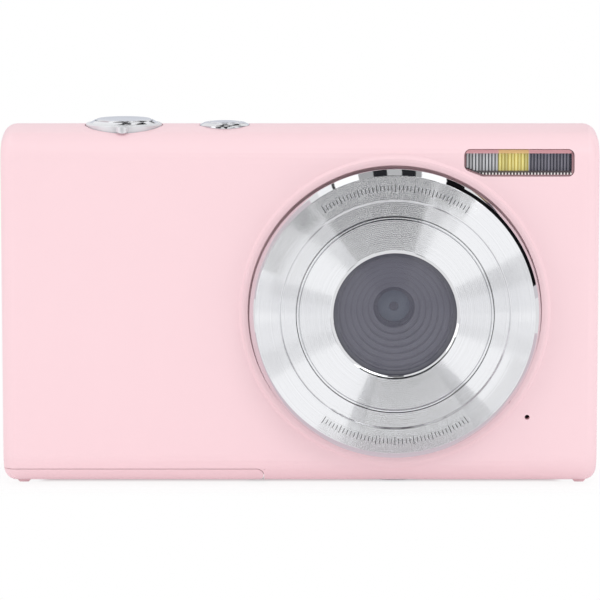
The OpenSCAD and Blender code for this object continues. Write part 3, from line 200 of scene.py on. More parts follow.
def start_finish(name):
    """A new material: its shader, and the place on the piece as a wire."""
    material = bpy.data.materials.new(name)
    material.use_nodes = True
    finishes[name] = material
    tree = material.node_tree
    place = Wire(tree, tree.nodes.new("ShaderNodeTexCoord").outputs["Object"])
    return tree.nodes["Principled BSDF"], place


def set_sockets(shader, values):
    for name, value in values.items():
        if isinstance(value, Wire):
            value.tree.links.new(value.socket, shader.inputs[name])
        else:
            shader.inputs[name].default_value = value


def noise(place, size, detail=2.0):
    """Soft noise whose patches are about this many millimetres across."""
    return place.node("ShaderNodeTexNoise", {}, {"Vector": place, "Scale": 1 / (size * MM), "Detail": detail})


def surface_normal(place):
    return place.node("ShaderNodeNewGeometry", output="Normal")


print("white is", [round(v, 3) for v in screen_colour(255, 255, 255)])

# %% [markdown]
# ## Moulded and plated finishes
# Most pieces are moulded plastic or plain metal. They share a recipe: a colour that drifts a little over
# some millimetres, a roughness that follows a fine grain, and a bump of the same grain. What differs is the
# numbers, so one function makes them all.


# %% The shared recipe
DRIFT_SIZE = 7.0
GRAIN_STRENGTH = 0.25


def bumped(height, depth, strength):
    """A normal that follows a height, which is this many millimetres at most."""
    return height.node("ShaderNodeBump", {}, {"Strength": strength, "Distance": depth * MM, "Height": height})


def plain_finish(name, colour, roughness, metallic=0.0, drift=0.04, grain_size=0.25, grain=0.05, depth=0.002):
    shader, place = start_finish(name)
    fine = noise(place, grain_size, 3.0)
    cloud = noise(place, DRIFT_SIZE)
    set_sockets(shader, {
        "Base Color": cloud.mix(shaded(colour, 1 - drift), colour),
        "Roughness": fine * grain + (roughness - grain / 2),
        "Metallic": metallic,
        "Normal": bumped(fine, depth, GRAIN_STRENGTH),
    })
    return shader, place


PLATED = 0.09
PLATING = {"drift": 0.02, "grain": 0.02, "depth": 0.0006}
plain_finish("case_pink", screen_colour(251, 217, 223), 0.42, drift=0.012, depth=0.004)
plain_finish("black_plastic", screen_colour(34, 34, 37), 0.5, drift=0.2, depth=0.006)
plain_finish("connector_cream", screen_colour(214, 204, 180), 0.5)
plain_finish("ribbon_amber", screen_colour(190, 120, 48), 0.35, drift=0.15)
plain_finish("battery_wrap", screen_colour(58, 62, 70), 0.38, drift=0.1)
plain_finish("foam", screen_colour(44, 44, 46), 0.95, drift=0.3, grain_size=0.5, grain=0.1, depth=0.08)
plain_finish("flash_yellow", screen_colour(240, 226, 110), 0.45, drift=0.1)
plain_finish("polished_chrome", screen_colour(222, 223, 226), PLATED, 1.0, **PLATING)
plain_finish("contact_brass", screen_colour(212, 178, 104), 0.25, 1.0, drift=0.12, grain=0.1, depth=0.001)
plain_finish("flash_bright", screen_colour(214, 214, 218), 0.2, 1.0, drift=0.05, grain=0.1, depth=0.001)
plain_finish("steel", screen_colour(186, 187, 190), 0.28, 1.0, drift=0.08, grain=0.12, depth=0.001)
plain_finish("sensor_dark", screen_colour(28, 30, 36), 0.15, drift=0.1, depth=0.0)
print("plain finishes", sorted(finishes))

# %% [markdown]
# ## Keys with inked marks
# The keys behind are pale, and each mark is a shallow cut filled with grey ink. A picture could colour the
# marks. A rule on the surface's own place needs none and follows the cut exactly: the ink lies only where
# the surface faces backwards and is a little lower than the key's top. The plated ring between the keys has
# an inked arrow on each side, cut below the valley that runs round it.

# %% Pale keys and plated ring
MARK_DEEP = 0.15 * MM
INK_MATT = 0.4
FACING_BACK = (0.85, 0.95)
KEY_PALE = screen_colour(234, 226, 228)
RING_BRIGHT = screen_colour(222, 223, 226)
INK = screen_colour(96, 92, 98)


def ink_share(place, mark_floor):
    """1 on the floors of engraved marks and 0 elsewhere."""
    _, behind, _ = place.parts()
    _, backwards, _ = surface_normal(place).parts()
    low_enough = (mark_floor + MARK_DEEP / 2 - behind).past(0, MARK_DEEP / 8)
    high_enough = (behind - mark_floor + MARK_DEEP / 4).past(0, MARK_DEEP / 8)
    return low_enough * high_enough * backwards.past(*FACING_BACK)


shader, place = plain_finish("key_pale", KEY_PALE, 0.35, drift=0.02)
inked = ink_share(place, key_high.y - MARK_DEEP)
set_sockets(shader, {"Base Color": inked.mix(KEY_PALE, INK)})
shader, place = plain_finish("ring_chrome", RING_BRIGHT, PLATED, **PLATING)
inked = ink_share(place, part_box("nav_ring")[1].y - 2 * MARK_DEEP)
set_sockets(shader, {
    "Base Color": inked.mix(RING_BRIGHT, INK),
    "Metallic": 1 - inked,
    "Roughness": inked * INK_MATT + PLATED,
})
print("keys and plated ring made")

# %% [markdown]
# ## Circuit boards
# A board is green lacquer over copper tracks. The tracks could be modelled, but no more than a glint of a
# board is ever seen. A brick pattern with thin joints stands in for them, and the lacquer over them is a
# little lighter and raised.

# %% Green lacquer with tracks
TRACK = 1.3 * MM
TRACK_DEEP = 0.03
TRACK_STRENGTH = 0.3
shader, place = start_finish("board_green")
upright = place.node("ShaderNodeMapping", {}, {"Vector": place, "Rotation": (math.radians(90), 0, 0)})
cell = place.node("ShaderNodeTexBrick", {"offset": 0.37, "squash": 1.6}, {
    "Vector": upright, "Scale": 1 / TRACK,
    "Color1": (0, 0, 0, 1), "Color2": (0, 0, 0, 1), "Mortar": (1, 1, 1, 1),
    "Mortar Size": 0.06, "Brick Width": 2.6, "Row Height": 0.55})
tracks = cell.node("ShaderNodeSeparateColor", {}, {0: cell})
set_sockets(shader, {
    "Base Color": tracks.mix(screen_colour(30, 92, 56), screen_colour(52, 128, 80)),
    "Roughness": noise(place, 0.4) * 0.12 + 0.26,
    "Normal": bumped(tracks, TRACK_DEEP, TRACK_STRENGTH),
})
print("board lacquer made")

# %% [markdown]
# ## Spun metal
# The lens ring and cone are turned on a lathe, and the tool leaves grooves round the axis. Each groove tips
# the surface in and out along the radius, so light spreads along the radius and not across it: that is what
# makes the fan of bright and grey wedges. Wedges could be painted on, but they would stay put when the
# camera turns. Here they come from the light itself, because the normal is tipped along the radius: by a
# fine random share for grooves too small to see and by a wave for those that can be seen. The spread grows
# towards the rim, where the tool ran faster. Only the flats that face forwards are spun. The rims and steps
# between them are polished, so they keep a plain normal and a lower roughness.

# %% Grooves round the lens axis
HAIR_LINES = 90000.0
GROOVE_PITCH = 0.3 * MM
UNEVEN = 1.1 * MM
SPREAD_GROWS = (18.5 * MM, 21 * MM)
SPUN_FACING = (0.93, 0.97)
POLISHED_SHARE = 0.78
UNEVEN_SHARE = 0.88
SPUN_WHITE = screen_colour(247, 248, 251)


def from_lens_axis(place):
    """The arm that reaches from the lens axis to a place, and its length."""
    arm = place.vector("MULTIPLY", place.vector("SUBTRACT", place, tuple(LENS)), (1, 0, 1))
    return arm, arm.vector("LENGTH", arm, output=1)


def spun_finish(name, colour, roughness, polished, fan, rim_fan, line):
    shader, place = start_finish(name)
    arm, radius = from_lens_axis(place)
    along_radius = {"noise_dimensions": "1D"}
    hair = radius.node("ShaderNodeTexWhiteNoise", along_radius, {"W": radius * HAIR_LINES})
    groove = radius.sum("SINE", radius * (2 * math.pi / GROOVE_PITCH))
    uneven = radius.node("ShaderNodeTexNoise", along_radius, {"W": radius / UNEVEN, "Detail": 3.0})
    normal = surface_normal(place)
    _, facing, _ = normal.parts()
    flat = facing.sum("ABSOLUTE", facing).past(*SPUN_FACING)
    spread = radius.past(*SPREAD_GROWS) * rim_fan + fan
    tip = ((hair - 0.5) * spread * 2.0 + groove * uneven * line) * flat
    lean = arm.vector("NORMALIZE", arm).scaled(tip)
    spun = uneven.mix(colour, shaded(colour, UNEVEN_SHARE))
    set_sockets(shader, {
        "Base Color": flat.mix(shaded(colour, POLISHED_SHARE), spun),
        "Roughness": flat * (uneven * 0.03 + (roughness - polished)) + polished,
        "Metallic": 1.0,
        "Normal": normal.vector("NORMALIZE", normal.vector("ADD", normal, lean)),
    })


spun_finish("spun_chrome", SPUN_WHITE, 0.05, 0.04, fan=0.28, rim_fan=0.21, line=0.10)
spun_finish("spun_cone", SPUN_WHITE, 0.05, 0.04, fan=0.18, rim_fan=0.0, line=0.08)
print("spun metal made")

# %% [markdown]
# ## Glass
# The lens window is smoky and coated: it shows a grey violet over the whole disc, and through it the rings
# of the baffle. Real glass bends light, and Transmission would show that. A thin flat window hardly does,
# so Alpha lets the light through, which keeps the export simple. The other clear pieces use the same
# recipe.


# %% Clear and smoky pieces
def clear_finish(name, colour, alpha, roughness=0.04):
    shader, place = start_finish(name)
    set_sockets(shader, {
        "Base Color": noise(place, 4.0).mix(shaded(colour, 0.94), colour),
        "Roughness": noise(place, 0.5) * 0.02 + roughness,
        "Alpha": noise(place, 3.0) * 0.02 + alpha,
    })
    return shader, place


PRINT_EDGE = 9.2 * MM
PRINT_SOFT = 0.1 * MM
PRINT_ALPHA = 0.7
WINDOW_ALPHA = 0.28
PUPIL = 0.9 * MM
SMOKE = screen_colour(122, 122, 138)
COATED = screen_colour(140, 160, 172)
shader, place = clear_finish("dark_glass", SMOKE, WINDOW_ALPHA)
_, radius = from_lens_axis(place)
printed = radius.past(PRINT_EDGE, PRINT_EDGE + PRINT_SOFT)
set_sockets(shader, {
    "Base Color": printed.mix(SMOKE, screen_colour(98, 98, 108)),
    "Alpha": printed * PRINT_ALPHA + WINDOW_ALPHA,
})
shader, place = clear_finish("clear_lens", COATED, 0.7, 0.02)
_, radius = from_lens_axis(place)
pupil = (PUPIL - radius).past(0, PUPIL / 3)
set_sockets(shader, {"Base Color": pupil.mix(COATED, screen_colour(44, 50, 58))})
clear_finish("light_pipe", screen_colour(236, 240, 228), 0.7, 0.15)
print("clear finishes made")

# %% [markdown]
# ## The baffle behind the window
# The baffle is a funnel of seven steps, moulded in grey. Each step meets the wall before it in an inner
# corner that little light reaches. Light alone would draw the rings only on one side, so the colour is
# darkened along these corners as well, and the rings show all round.

# %% Steps with shaded corners
BAFFLE_WIDE = 9.0 * MM
BAFFLE_NARROW = 3.35 * MM
BAFFLE_STEP = (BAFFLE_WIDE - BAFFLE_NARROW) / 6
CORNER_SHARE = 0.45
CORNER_LIGHT = 0.72
BAFFLE_GREY = screen_colour(149, 149, 157)
shader, place = plain_finish("baffle_grey", BAFFLE_GREY, 0.3, depth=0.0)
_, radius = from_lens_axis(place)
steps = (BAFFLE_WIDE - radius) / BAFFLE_STEP
lit = steps.sum("FRACT", steps).past(0, CORNER_SHARE)
set_sockets(shader, {"Base Color": lit.mix(shaded(BAFFLE_GREY, CORNER_LIGHT), BAFFLE_GREY)})
print("baffle finish made")

# %% [markdown]
# ## Screen
# The screen is a black glass. Its lit part is bounded by a printed border, and behind the glass it is a
# shade lighter and bluer than the border. Two sheets could show that. The screen is off here, so one sheet
# with two colours is enough.

# %% Screen glass with its border
BORDER = 2.6 * MM
SOFT_LINE = 0.05 * MM
BORDER_BLACK = screen_colour(12, 12, 14)
PANEL_BLUE = screen_colour(34, 37, 44)
shader, place = clear_finish("screen_glass", BORDER_BLACK, 0.97, 0.03)
middle = (screen_low + screen_high) / 2
half = (screen_high - screen_low) / 2
across, _, up = place.vector("SUBTRACT", place, tuple(middle)).parts()
inside_width = (half.x - BORDER - across.sum("ABSOLUTE", across)).past(0, SOFT_LINE)
inside_height = (half.z - BORDER - up.sum("ABSOLUTE", up)).past(0, SOFT_LINE)
set_sockets(shader, {"Base Color": (inside_width * inside_height).mix(BORDER_BLACK, PANEL_BLUE)})
print("screen", [round(2 * v / MM, 1) for v in half])

# %% [markdown]
# ## Flash window
# The window is clear and ribbed behind, so it shows three bands: a bright side, the yellow of the light, and
# a shaded side; the ribs behind it carry them as painted light and shade. Along its top edge the window
# carries the pink of the cover, painted darker as it is seen through the clear edge, and yellow in front of
# the light. Along its bottom edge the cut ends of the ribs are painted as a row of teeth, dark with painted
# shade and bright with painted highlight, and a thin line of painted shade runs along its bottom, its cut
# corner and its sides. Each band could be a sheet of its own. Sums of the place on the window keep it one
# piece with sharp edges.

# %% Clear front with its painted bands
RIB_PITCH = 0.52 * MM
TOP_BAND = 0.66 * MM
TOOTH_BAND = 0.9 * MM
TOOTH_HIGH = 0.55 * MM
EDGE_BAND = 0.2 * MM
CUT_LONG = 2.8 * MM
CUT_HIGH = 1.1 * MM
END_GAP = 0.45 * MM
SOFT = 0.1 * MM


def before_light(across):
    """1 in front of the flash light and 0 to its left and right."""
    return across.past(led_low.x - 2 * SOFT, led_low.x) * (led_high.x + 2 * SOFT - across).past(0, 2 * SOFT)


shader, place = start_finish("flash_clear")
across, _, up = place.parts()
lit = before_light(across)
# The top band is the cover's pink seen through the clear edge, painted in, and yellower in front of the
# light.
top_band = up.past(flash_high.z - TOP_BAND, flash_high.z - TOP_BAND * 0.8)
cut = across - flash_low.x + (up - flash_low.z) * (CUT_LONG / CUT_HIGH)
past_cut = cut.past(CUT_LONG + 6 * SOFT, CUT_LONG + 9 * SOFT)
tooth_band = (flash_low.z + TOOTH_BAND - up).past(0, SOFT) * past_cut
# A line of painted shade along the bottom, the cut corner and the sides.
rim_shade = (flash_low.z + EDGE_BAND - up).past(0, SOFT / 2)
rim_shade = rim_shade.most((CUT_LONG + 2.7 * EDGE_BAND - cut).past(0, 2 * SOFT),
               (flash_low.x + EDGE_BAND - across).past(0, SOFT),
               (across - flash_high.x + 2 * EDGE_BAND).past(0, SOFT))
# Teeth at the bottom: painted shade between them and a painted highlight on each cut rib end.
tooth_light = across.sum("SINE", across * (2 * math.pi / RIB_PITCH)) * 0.5 + 0.5
tooth_light = tooth_light.past(0.55, 0.8) * (flash_low.z + TOOTH_HIGH - up).past(0, 0.8 * SOFT)
painted_bands = tooth_light.mix(screen_colour(62, 52, 56), screen_colour(244, 238, 236))
painted_bands = top_band.mix(painted_bands, lit.mix(screen_colour(216, 160, 166), screen_colour(222, 182, 132)))
painted_bands = rim_shade.mix(painted_bands, screen_colour(164, 126, 132))
set_sockets(shader, {
    "Base Color": painted_bands,
    "Roughness": noise(place, 0.5) * 0.02 + 0.06,
    "Alpha": (top_band * 0.85).most(tooth_band * 0.9, rim_shade * 0.85, 0.1),
})
print("flash window", [round(v / MM, 2) for v in (*flash_low, *flash_high)])

# %% [markdown]
# ## Colours of the ribs
# A rib gathers light from what lies behind it, so its crest is bright and the valley beside it dull. That
# light and shade is painted into the rib's colour, by the depth behind the front flat and by the band: a
# painted highlight on each crest, painted shade in the valleys and on the web behind, and the bright side,
# the yellow light and the shaded side as painted reflections. The same colour also glows a little, so the
# ribs shine though they are no lamp. No two moulded ribs are quite alike, and each has a brightness of its
# own.

# %% Ribs with painted light and shade
RIB_FRONT = 1.0 * MM
RIB_BACK = 1.5 * MM
RIB_LEAST = 0.72
RIB_VARIES = 0.4
shader, place = start_finish("flash_ribs")
across, deep, _ = place.parts()
lit = before_light(across)
shady = across.past(led_high.x, led_high.x + 3 * SOFT)


def in_bands(left, middle, right):
    """One painted colour for each band of the window: light on the bright side, the yellow of the flash
    light, shade on the shaded side.
    """
    return lit.mix(shady.mix(screen_colour(*left), screen_colour(*right)), screen_colour(*middle))


# crest is 1 on the front of a rib and 0 deep behind: the painted highlight goes on the crest, the painted
# shade deeper down.
crest = (FRONT + RIB_BACK - deep).past(0, RIB_BACK - RIB_FRONT)
rib_highlight = in_bands((240, 243, 246), (250, 245, 170), (152, 150, 162))
rib_shade = in_bands((70, 72, 78), (196, 180, 92), (46, 50, 66))
rib = (across - flash_low.x - END_GAP) / RIB_PITCH + 0.5
clearness = rib.node("ShaderNodeTexWhiteNoise", {"noise_dimensions": "1D"}, {"W": rib.sum("FLOOR", rib)})
painted_rib_light = crest.mix(rib_shade, rib_highlight).scaled(clearness * RIB_VARIES + RIB_LEAST)
set_sockets(shader, {
    "Base Color": painted_rib_light,
    # The ribs glow with their painted colour, though they are no lamp: painted light.
    "Emission Color": painted_rib_light,
    "Emission Strength": 0.3,
    "Roughness": noise(place, 0.3) * 0.1 + 0.2,
})
print("ribs coloured, with the light from", round(led_low.x / MM, 2), "to", round(led_high.x / MM, 2))

# %% [markdown]
# ## Dressing what stays as it is
# Pieces that hide inside keep their CAD meshes. Each takes the finish of its slot in the record, and the
# microphone, seen through its hole, wears the black felt that covers such a capsule.

# %% Finishes for the CAD nodes
for node, slot in slot_of.items():
    mesh = frame["nodes"][node].data
    mesh.materials.clear()
    mesh.materials.append(finishes[slot])
frame["nodes"]["microphone"].data.materials[0] = finishes["foam"]
print("finished", len(slot_of), "CAD nodes")

# %% [markdown]
# ## Making and placing pieces
# A new piece stands for one CAD node: it rides on that node's body and takes that node's slot. Edges
# sharper than a set angle stay sharp in the shading, and all others are smoothed with the broad faces kept
# flat.

# %% Helpers for every new piece
SHARP = math.radians(32)
SAME_SPOT = 0.0004 * MM
BROAD_FIRST = 100


def keep_piece(mesh, node, name=None, finish=None, stands_for=True):
    """Makes an object of a mesh and sets it on a body, in place of a CAD node or beside it."""
    piece = bpy.data.objects.new(name or node + "_shown", mesh)
    bpy.context.collection.objects.link(piece)
    mesh.materials.clear()
    mesh.materials.append(finishes[finish or slot_of[node]])
    weigh = piece.modifiers.new("broad faces stay flat", "WEIGHTED_NORMAL")
    weigh.keep_sharp = True
    weigh.weight = BROAD_FIRST
    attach(piece, body_of[node])
    if stands_for:
        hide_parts(node)
    return piece


def finish_mesh(work, name):
    for face in work.faces:
        face.smooth = True
    for edge in work.edges:
        edge.smooth = edge.is_manifold and edge.calc_face_angle(0.0) < SHARP
    mesh = bpy.data.meshes.new(name)
    work.to_mesh(mesh)
    work.free()
    return mesh


def smooth_copy(node):
    """A copy of a CAD mesh, joined up and shaded smooth."""
    work = bmesh.new()
    work.from_mesh(frame["nodes"][node].data)
    bmesh.ops.remove_doubles(work, verts=work.verts, dist=SAME_SPOT)
    bmesh.ops.dissolve_degenerate(work, edges=work.edges, dist=SAME_SPOT / 2)
    return keep_piece(finish_mesh(work, node + "_shown"), node)


def joined(name, *meshes):
    work = bmesh.new()
    for mesh in meshes:
        work.from_mesh(mesh)
    return finish_mesh(work, name)


def skin(work, rings):
    """Faces between each ring of corners and the next, and a lid on both ends."""
    for low, high in zip(rings, rings[1:]):
        for k in range(len(low)):
            after = (k + 1) % len(low)
            work.faces.new((low[k], low[after], high[after], high[k]))
    work.faces.new(rings[0])
    work.faces.new(rings[-1])
    bmesh.ops.recalc_face_normals(work, faces=work.faces)


print("edges stay sharp past", round(math.degrees(SHARP)), "degrees")

# %% [markdown]
# ## Turning, and easing corners
# A lathe part is an outline of radius and height, turned about an axis. Real edges are never quite sharp,
# and the small radius is what catches a line of light. A Bevel modifier could round them. Easing the
# outline first gives clean rings of faces and costs nothing.

# %% Lathe helpers
EASE_STEPS = 3
EASE_REACH = 0.45


def eased(points, radius, closed=True):
    """An outline with its corners rounded off by about this radius."""
    count = len(points)
    out = []
    for i, point in enumerate(points):
        if not closed and i in (0, count - 1):
            out.append(point)
            continue
        here, before, after = (Vector(p) for p in (point, points[i - 1], points[(i + 1) % count]))
        back, ahead = before - here, after - here
        start = here + back.normalized() * min(radius, back.length * EASE_REACH)
        end = here + ahead.normalized() * min(radius, ahead.length * EASE_REACH)
        for k in range(EASE_STEPS + 1):
            t = k / EASE_STEPS
            out.append(tuple(start * (1 - t) ** 2 + here * (2 * t * (1 - t)) + end * t ** 2))
    return out


def turned_mesh(name, outline, middle, upright=False, closed=True, segments=128):
    """A lathe part: radius and height in millimetres, turned about Y, or about Z if upright."""
    work = bmesh.new()
    rings = []
    for radius, height in outline:
        ring = []
        for k in range(segments if radius > 0 else 1):
            angle = 2 * math.pi * k / segments
            across, along = radius * math.cos(angle), radius * math.sin(angle)
            spot = (across, along, height) if upright else (across, height, along)
            ring.append(work.verts.new(Vector(spot) * MM + middle))
        rings.append(ring)
    pairs = list(zip(rings, rings[1:]))
    if closed:
        pairs.append((rings[-1], rings[0]))
    for low, high in pairs:
        for k in range(segments):
            after = k + 1
            corners = [low[k % len(low)], low[after % len(low)], high[after % len(high)], high[k % len(high)]]
            corners = list(dict.fromkeys(corners))
            if len(corners) > 2:
                work.faces.new(corners)
    bmesh.ops.recalc_face_normals(work, faces=work.faces)
    return finish_mesh(work, name)


def turned_piece(node, outline, ease, middle, closed=True, finish=None, **turning):
    """A turned piece, its corners eased by some millimetres, in place of a CAD node."""
    mesh = turned_mesh(node + "_shown", eased(outline, ease, closed), middle, closed=closed, **turning)
    return keep_piece(mesh, node, finish=finish)


def soft_block(name, low, high, ease):
    """A block between two corners with its edges rounded."""
    work = bmesh.new()
    bmesh.ops.create_cube(work, size=1.0)
    for vertex in work.verts:
        vertex.co = [a + (b - a) * (v + 0.5) for a, b, v in zip(low, high, vertex.co)]
    bmesh.ops.bevel(work, geom=work.edges[:], offset=ease, segments=EASE_STEPS, profile=0.5, affect="EDGES")
    return finish_mesh(work, name)


print("corners are eased in", EASE_STEPS, "steps")

# %% [markdown]
# ## The case
# Two covers and the battery door are one moulding split at its seams. Their CAD solids already have every
# opening, so they are copied, joined up and shaded smooth, and the broad flat faces are given the say in
# the shading. The same is done for the small fittings that show round the sides.

# %% Covers, door and fittings
COPIED = ("front_cover", "rear_cover", "battery_door", "mid_frame", "door_pad", "hinge_pin", "lens_baffle",
          "front_lens", "key_mode", "key_play", "key_menu", "key_delete", "nav_ring", "indicator_light",
          "usb_socket", "tripod_nut", "strap_bar", "case_screws", "battery", "memory_card", "card_slot",
          "lcd_window", "flash_window", "shutter_spring")
copies = {node: smooth_copy(node) for node in COPIED}
copies["lens_baffle"].data.materials[0] = finishes["baffle_grey"]
copies["nav_ring"].data.materials[0] = finishes["ring_chrome"]
print("copied", {node: len(piece.data.polygons) for node, piece in copies.items()})

# %% [markdown]
# ## The spring under the shutter button
# The spring stands in a well on the case and the button rests on its upper end. When the button goes down the
# spring gets shorter by the same travel. It could be wound anew for each pose. Here the share of its height
# that stays at full travel is worked out, and its copy gets a mesh of its own.

# %% How much of the spring stays
spring_low, spring_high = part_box("shutter_spring")
joints = {joint["name"]: joint for joint in record["behaviour"]["joints"]}
travel = max(abs(end) for end in joints["shutter_press"]["range_m"])
spring_kept = 1 - travel / (spring_high.z - spring_low.z)
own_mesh(copies["shutter_spring"])
print("spring kept", round(spring_kept, 2))

# %% [markdown]
# ## The seam round the battery door
# The door's inner end is round about its pin, and the moulded cover follows it a tenth of a millimetre
# away. The CAD cover leaves a wider seam with a square corner, so its edge is brought down to the door and
# the corner is filled. The filling has to lie flush with the cover: a ray from the front finds how far back
# the cover's face is at each height.

# %% A narrower seam with a round corner
DOOR_HALF = 1.15 * MM
SEAM = 0.2 * MM
SEAM_SHOWN = 0.1 * MM
CORNER_DEEP = 1.2 * MM
CORNER_FOOT = 0.63 * MM
CORNER_STEPS = 12
FAR_OFF = 1.0
PIN = Vector(joints["battery_door_hinge"]["pos_m"])
cover = copies["front_cover"].data
ceiling = PIN.z + DOOR_HALF + SEAM
side_wall = PIN.x + DOOR_HALF + SEAM
CLOSE = SEAM / 10
lowered = [v for v in cover.vertices if abs(v.co.z - ceiling) < CLOSE and v.co.x < side_wall + CLOSE]
for vertex in lowered:
    vertex.co.z = PIN.z + DOOR_HALF + SEAM_SHOWN
cover_face = BVHTree.FromPolygons([v.co for v in cover.vertices], [face.vertices for face in cover.polygons])


def corner_rings():
    """The corner's edges towards the door and the cover, counted from the pin, from the foot up."""
    near, far = DOOR_HALF + SEAM_SHOWN, DOOR_HALF + SEAM
    foot = CORNER_FOOT - PIN.z
    for k in range(CORNER_STEPS):
        rise = foot * (1 - k / CORNER_STEPS)
        yield (near, rise), (far, rise)
    for k in range(CORNER_STEPS):
        angle = math.pi / 2 * k / CORNER_STEPS
        across, up = math.cos(angle), math.sin(angle)
        out = min(far / across, near / up if up else math.inf)
        yield (near * across, near * up), (out * across, out * up)


work = bmesh.new()
rings = []
for edge_points in corner_rings():
    ring = []
    for deep, points in ((0.0, edge_points), (CORNER_DEEP, edge_points[::-1])):
        for across, up in points:
            start = Vector((side_wall + SEAM, -FAR_OFF, PIN.z + up))
            face_y = cover_face.ray_cast(start, Vector((0, 1, 0)))[0].y
            ring.append(work.verts.new((PIN.x + across, face_y + deep, PIN.z + up)))
    rings.append(ring)
skin(work, rings)
keep_piece(finish_mesh(work, "door_corner"), "front_cover", "door_corner", stands_for=False)
print("seam narrowed at", len(lowered), "points")

# %% [markdown]
# ## The lens
# Everything on the lens axis is turned. The CAD meshes could be copied here as well. Turning the pieces
# again gives even faces all round, so the fan of light shows no facets. An outline is a list of radius and
# depth, in millimetres, and a depth is negative in front of the front flat.

# %% Ring, cone and window
FINE_TURN = 220
ring_outline = [(23.3, 0.5), (23.3, -3.2), (22.95, -3.75), (22.4, -4.4), (18.4, -4.4), (18.25, -4.1),
                (15.85, -4.1), (15.85, -2.6), (14.65, -2.6), (14.65, -1.6), (17.15, -1.6), (17.15, -3.1),
                (22, -3.1), (22, 0.5)]
cone_outline = [(15.75, -2.6), (15.75, -4), (15.42, -4), (15.42, -3.5), (15.3, -3.5), (15.3, -4.3),
                (10.35, -4.15), (9.85, -3.85), (9.85, -3.1), (10.1, -3), (10.1, -2.1), (9.3, -2.1),
                (9.3, -1.4), (13.95, -1.4), (13.95, -2.6)]
window_outline = [(0, -2.95), (10, -2.95), (10, -2.1), (0, -2.1)]
turned_piece("lens_ring", ring_outline, 0.08, LENS, segments=FINE_TURN)
turned_piece("lens_cone", cone_outline, 0.06, LENS, finish="spun_cone", segments=FINE_TURN)
turned_piece("lens_window", window_outline, 0.15, LENS, closed=False)
print("window turned, and ring and cone in", FINE_TURN, "steps")

# %% [markdown]
# ## Rows of like things
# Ribs and scale ticks repeat, so each is made once and placed on points by a small geometry tree. The tree
# is run a single time and the result kept as a plain mesh, which rides on one body like any other piece.


# %% Helpers for geometry trees
def start_tree(title, inputs):
    """An empty geometry tree with named inputs, and a wire for each."""
    tree = bpy.data.node_groups.new(title, "GeometryNodeTree")
    tree.interface.new_socket("Geometry", in_out="OUTPUT", socket_type="NodeSocketGeometry")
    for name, kind in inputs.items():
        tree.interface.new_socket(name, in_out="INPUT", socket_type="NodeSocket" + kind)
    source = tree.nodes.new("NodeGroupInput")
    return tree, [Wire(tree, source.outputs[name]) for name in inputs]


def end_tree(tree, instances, material):
    real = instances.node("GeometryNodeRealizeInstances", {}, {"Geometry": instances})
    dressed = real.node("GeometryNodeSetMaterial", {}, {"Geometry": real, "Material": material})
    tree.links.new(dressed.socket, tree.nodes.new("NodeGroupOutput").inputs[0])


def run_tree(tree, values):
    """Runs a tree once with these values and returns a plain mesh."""
    holder = bpy.data.objects.new(tree.name, bpy.data.meshes.new(tree.name))
    bpy.context.collection.objects.link(holder)
    modifier = holder.modifiers.new(tree.name, "NODES")
    modifier.node_group = tree
    for item in tree.interface.items_tree:
        if item.in_out == "INPUT":
            modifier[item.identifier] = values[item.name]
    mesh = bpy.data.meshes.new_from_object(holder.evaluated_get(bpy.context.evaluated_depsgraph_get()))
    bpy.data.objects.remove(holder)
    return mesh


print("geometry trees can be run")

# %% [markdown]
# ## Flash ribs
# Behind the clear front stand upright ribs, half a millimetre apart, on a thin web. They gather what is
# behind them into stripes. One corner of the window is cut off, so the ribs there start higher: the rise
# falls away along the row.

# %% Upright ribs in a row
tree, (count, pitch, start, size, height, rise, fall, finish) = start_tree("ribs in a row", {
    "Count": "Int", "Pitch": "Float", "Start": "Vector", "Radius": "Float", "Height": "Float",
    "Rise": "Float", "Fall": "Float", "Finish": "Material"})
index = count.node("GeometryNodeInputIndex")
lift = index.sum("MAXIMUM", rise - index * pitch * fall, 0.0)
row = count.node("GeometryNodeMeshLine", {"mode": "OFFSET"}, {
    "Count": count, "Start Location": start, "Offset": count.node("ShaderNodeCombineXYZ", {}, {"X": pitch})})
row = row.node("GeometryNodeSetPosition", {}, {
    "Geometry": row, "Offset": lift.node("ShaderNodeCombineXYZ", {}, {"Z": lift * 0.5})})
rib = row.node("GeometryNodeMeshCylinder", {}, {"Vertices": 14, "Radius": size, "Depth": 1.0})
rib = rib.node("GeometryNodeSetShadeSmooth", {}, {"Geometry": rib})
tall = row.node("ShaderNodeCombineXYZ", {}, {"X": 1.0, "Y": 1.0, "Z": height - lift})
ribs = row.node("GeometryNodeInstanceOnPoints", {}, {"Points": row, "Instance": rib, "Scale": tall})
end_tree(tree, ribs, finish)
print("tree of ribs has", len(tree.nodes), "nodes")

# %% Ribs and the web behind them
RIB_RADIUS = 0.2 * MM
RIB_SUNK = 0.1 * MM
RIB_FOOT = 0.5 * MM
WEB_THICK = 0.15 * MM
WEB_SIDE = 0.2 * MM
WEB_END = 0.3 * MM
WEB_EASE = 0.05 * MM
rib_foot = flash_low.z + RIB_FOOT
rib_head = flash_high.z - END_GAP
ribs_mesh = run_tree(tree, {
    "Count": int((flash_high.x - flash_low.x - 2 * END_GAP) / RIB_PITCH) + 1,
    "Pitch": RIB_PITCH,
    "Start": (flash_low.x + END_GAP, FRONT + RIB_BACK - RIB_SUNK, (rib_foot + rib_head) / 2),
    "Radius": RIB_RADIUS,
    "Height": rib_head - rib_foot,
    "Rise": CUT_HIGH - 2 * RIB_RADIUS,
    "Fall": CUT_HIGH / CUT_LONG,
    "Finish": finishes["flash_ribs"],
})


def web_part(name, left, right, foot):
    back = FRONT + RIB_BACK
    return soft_block(name, (left, back, foot), (right, back + WEB_THICK, flash_high.z - WEB_END), WEB_EASE)


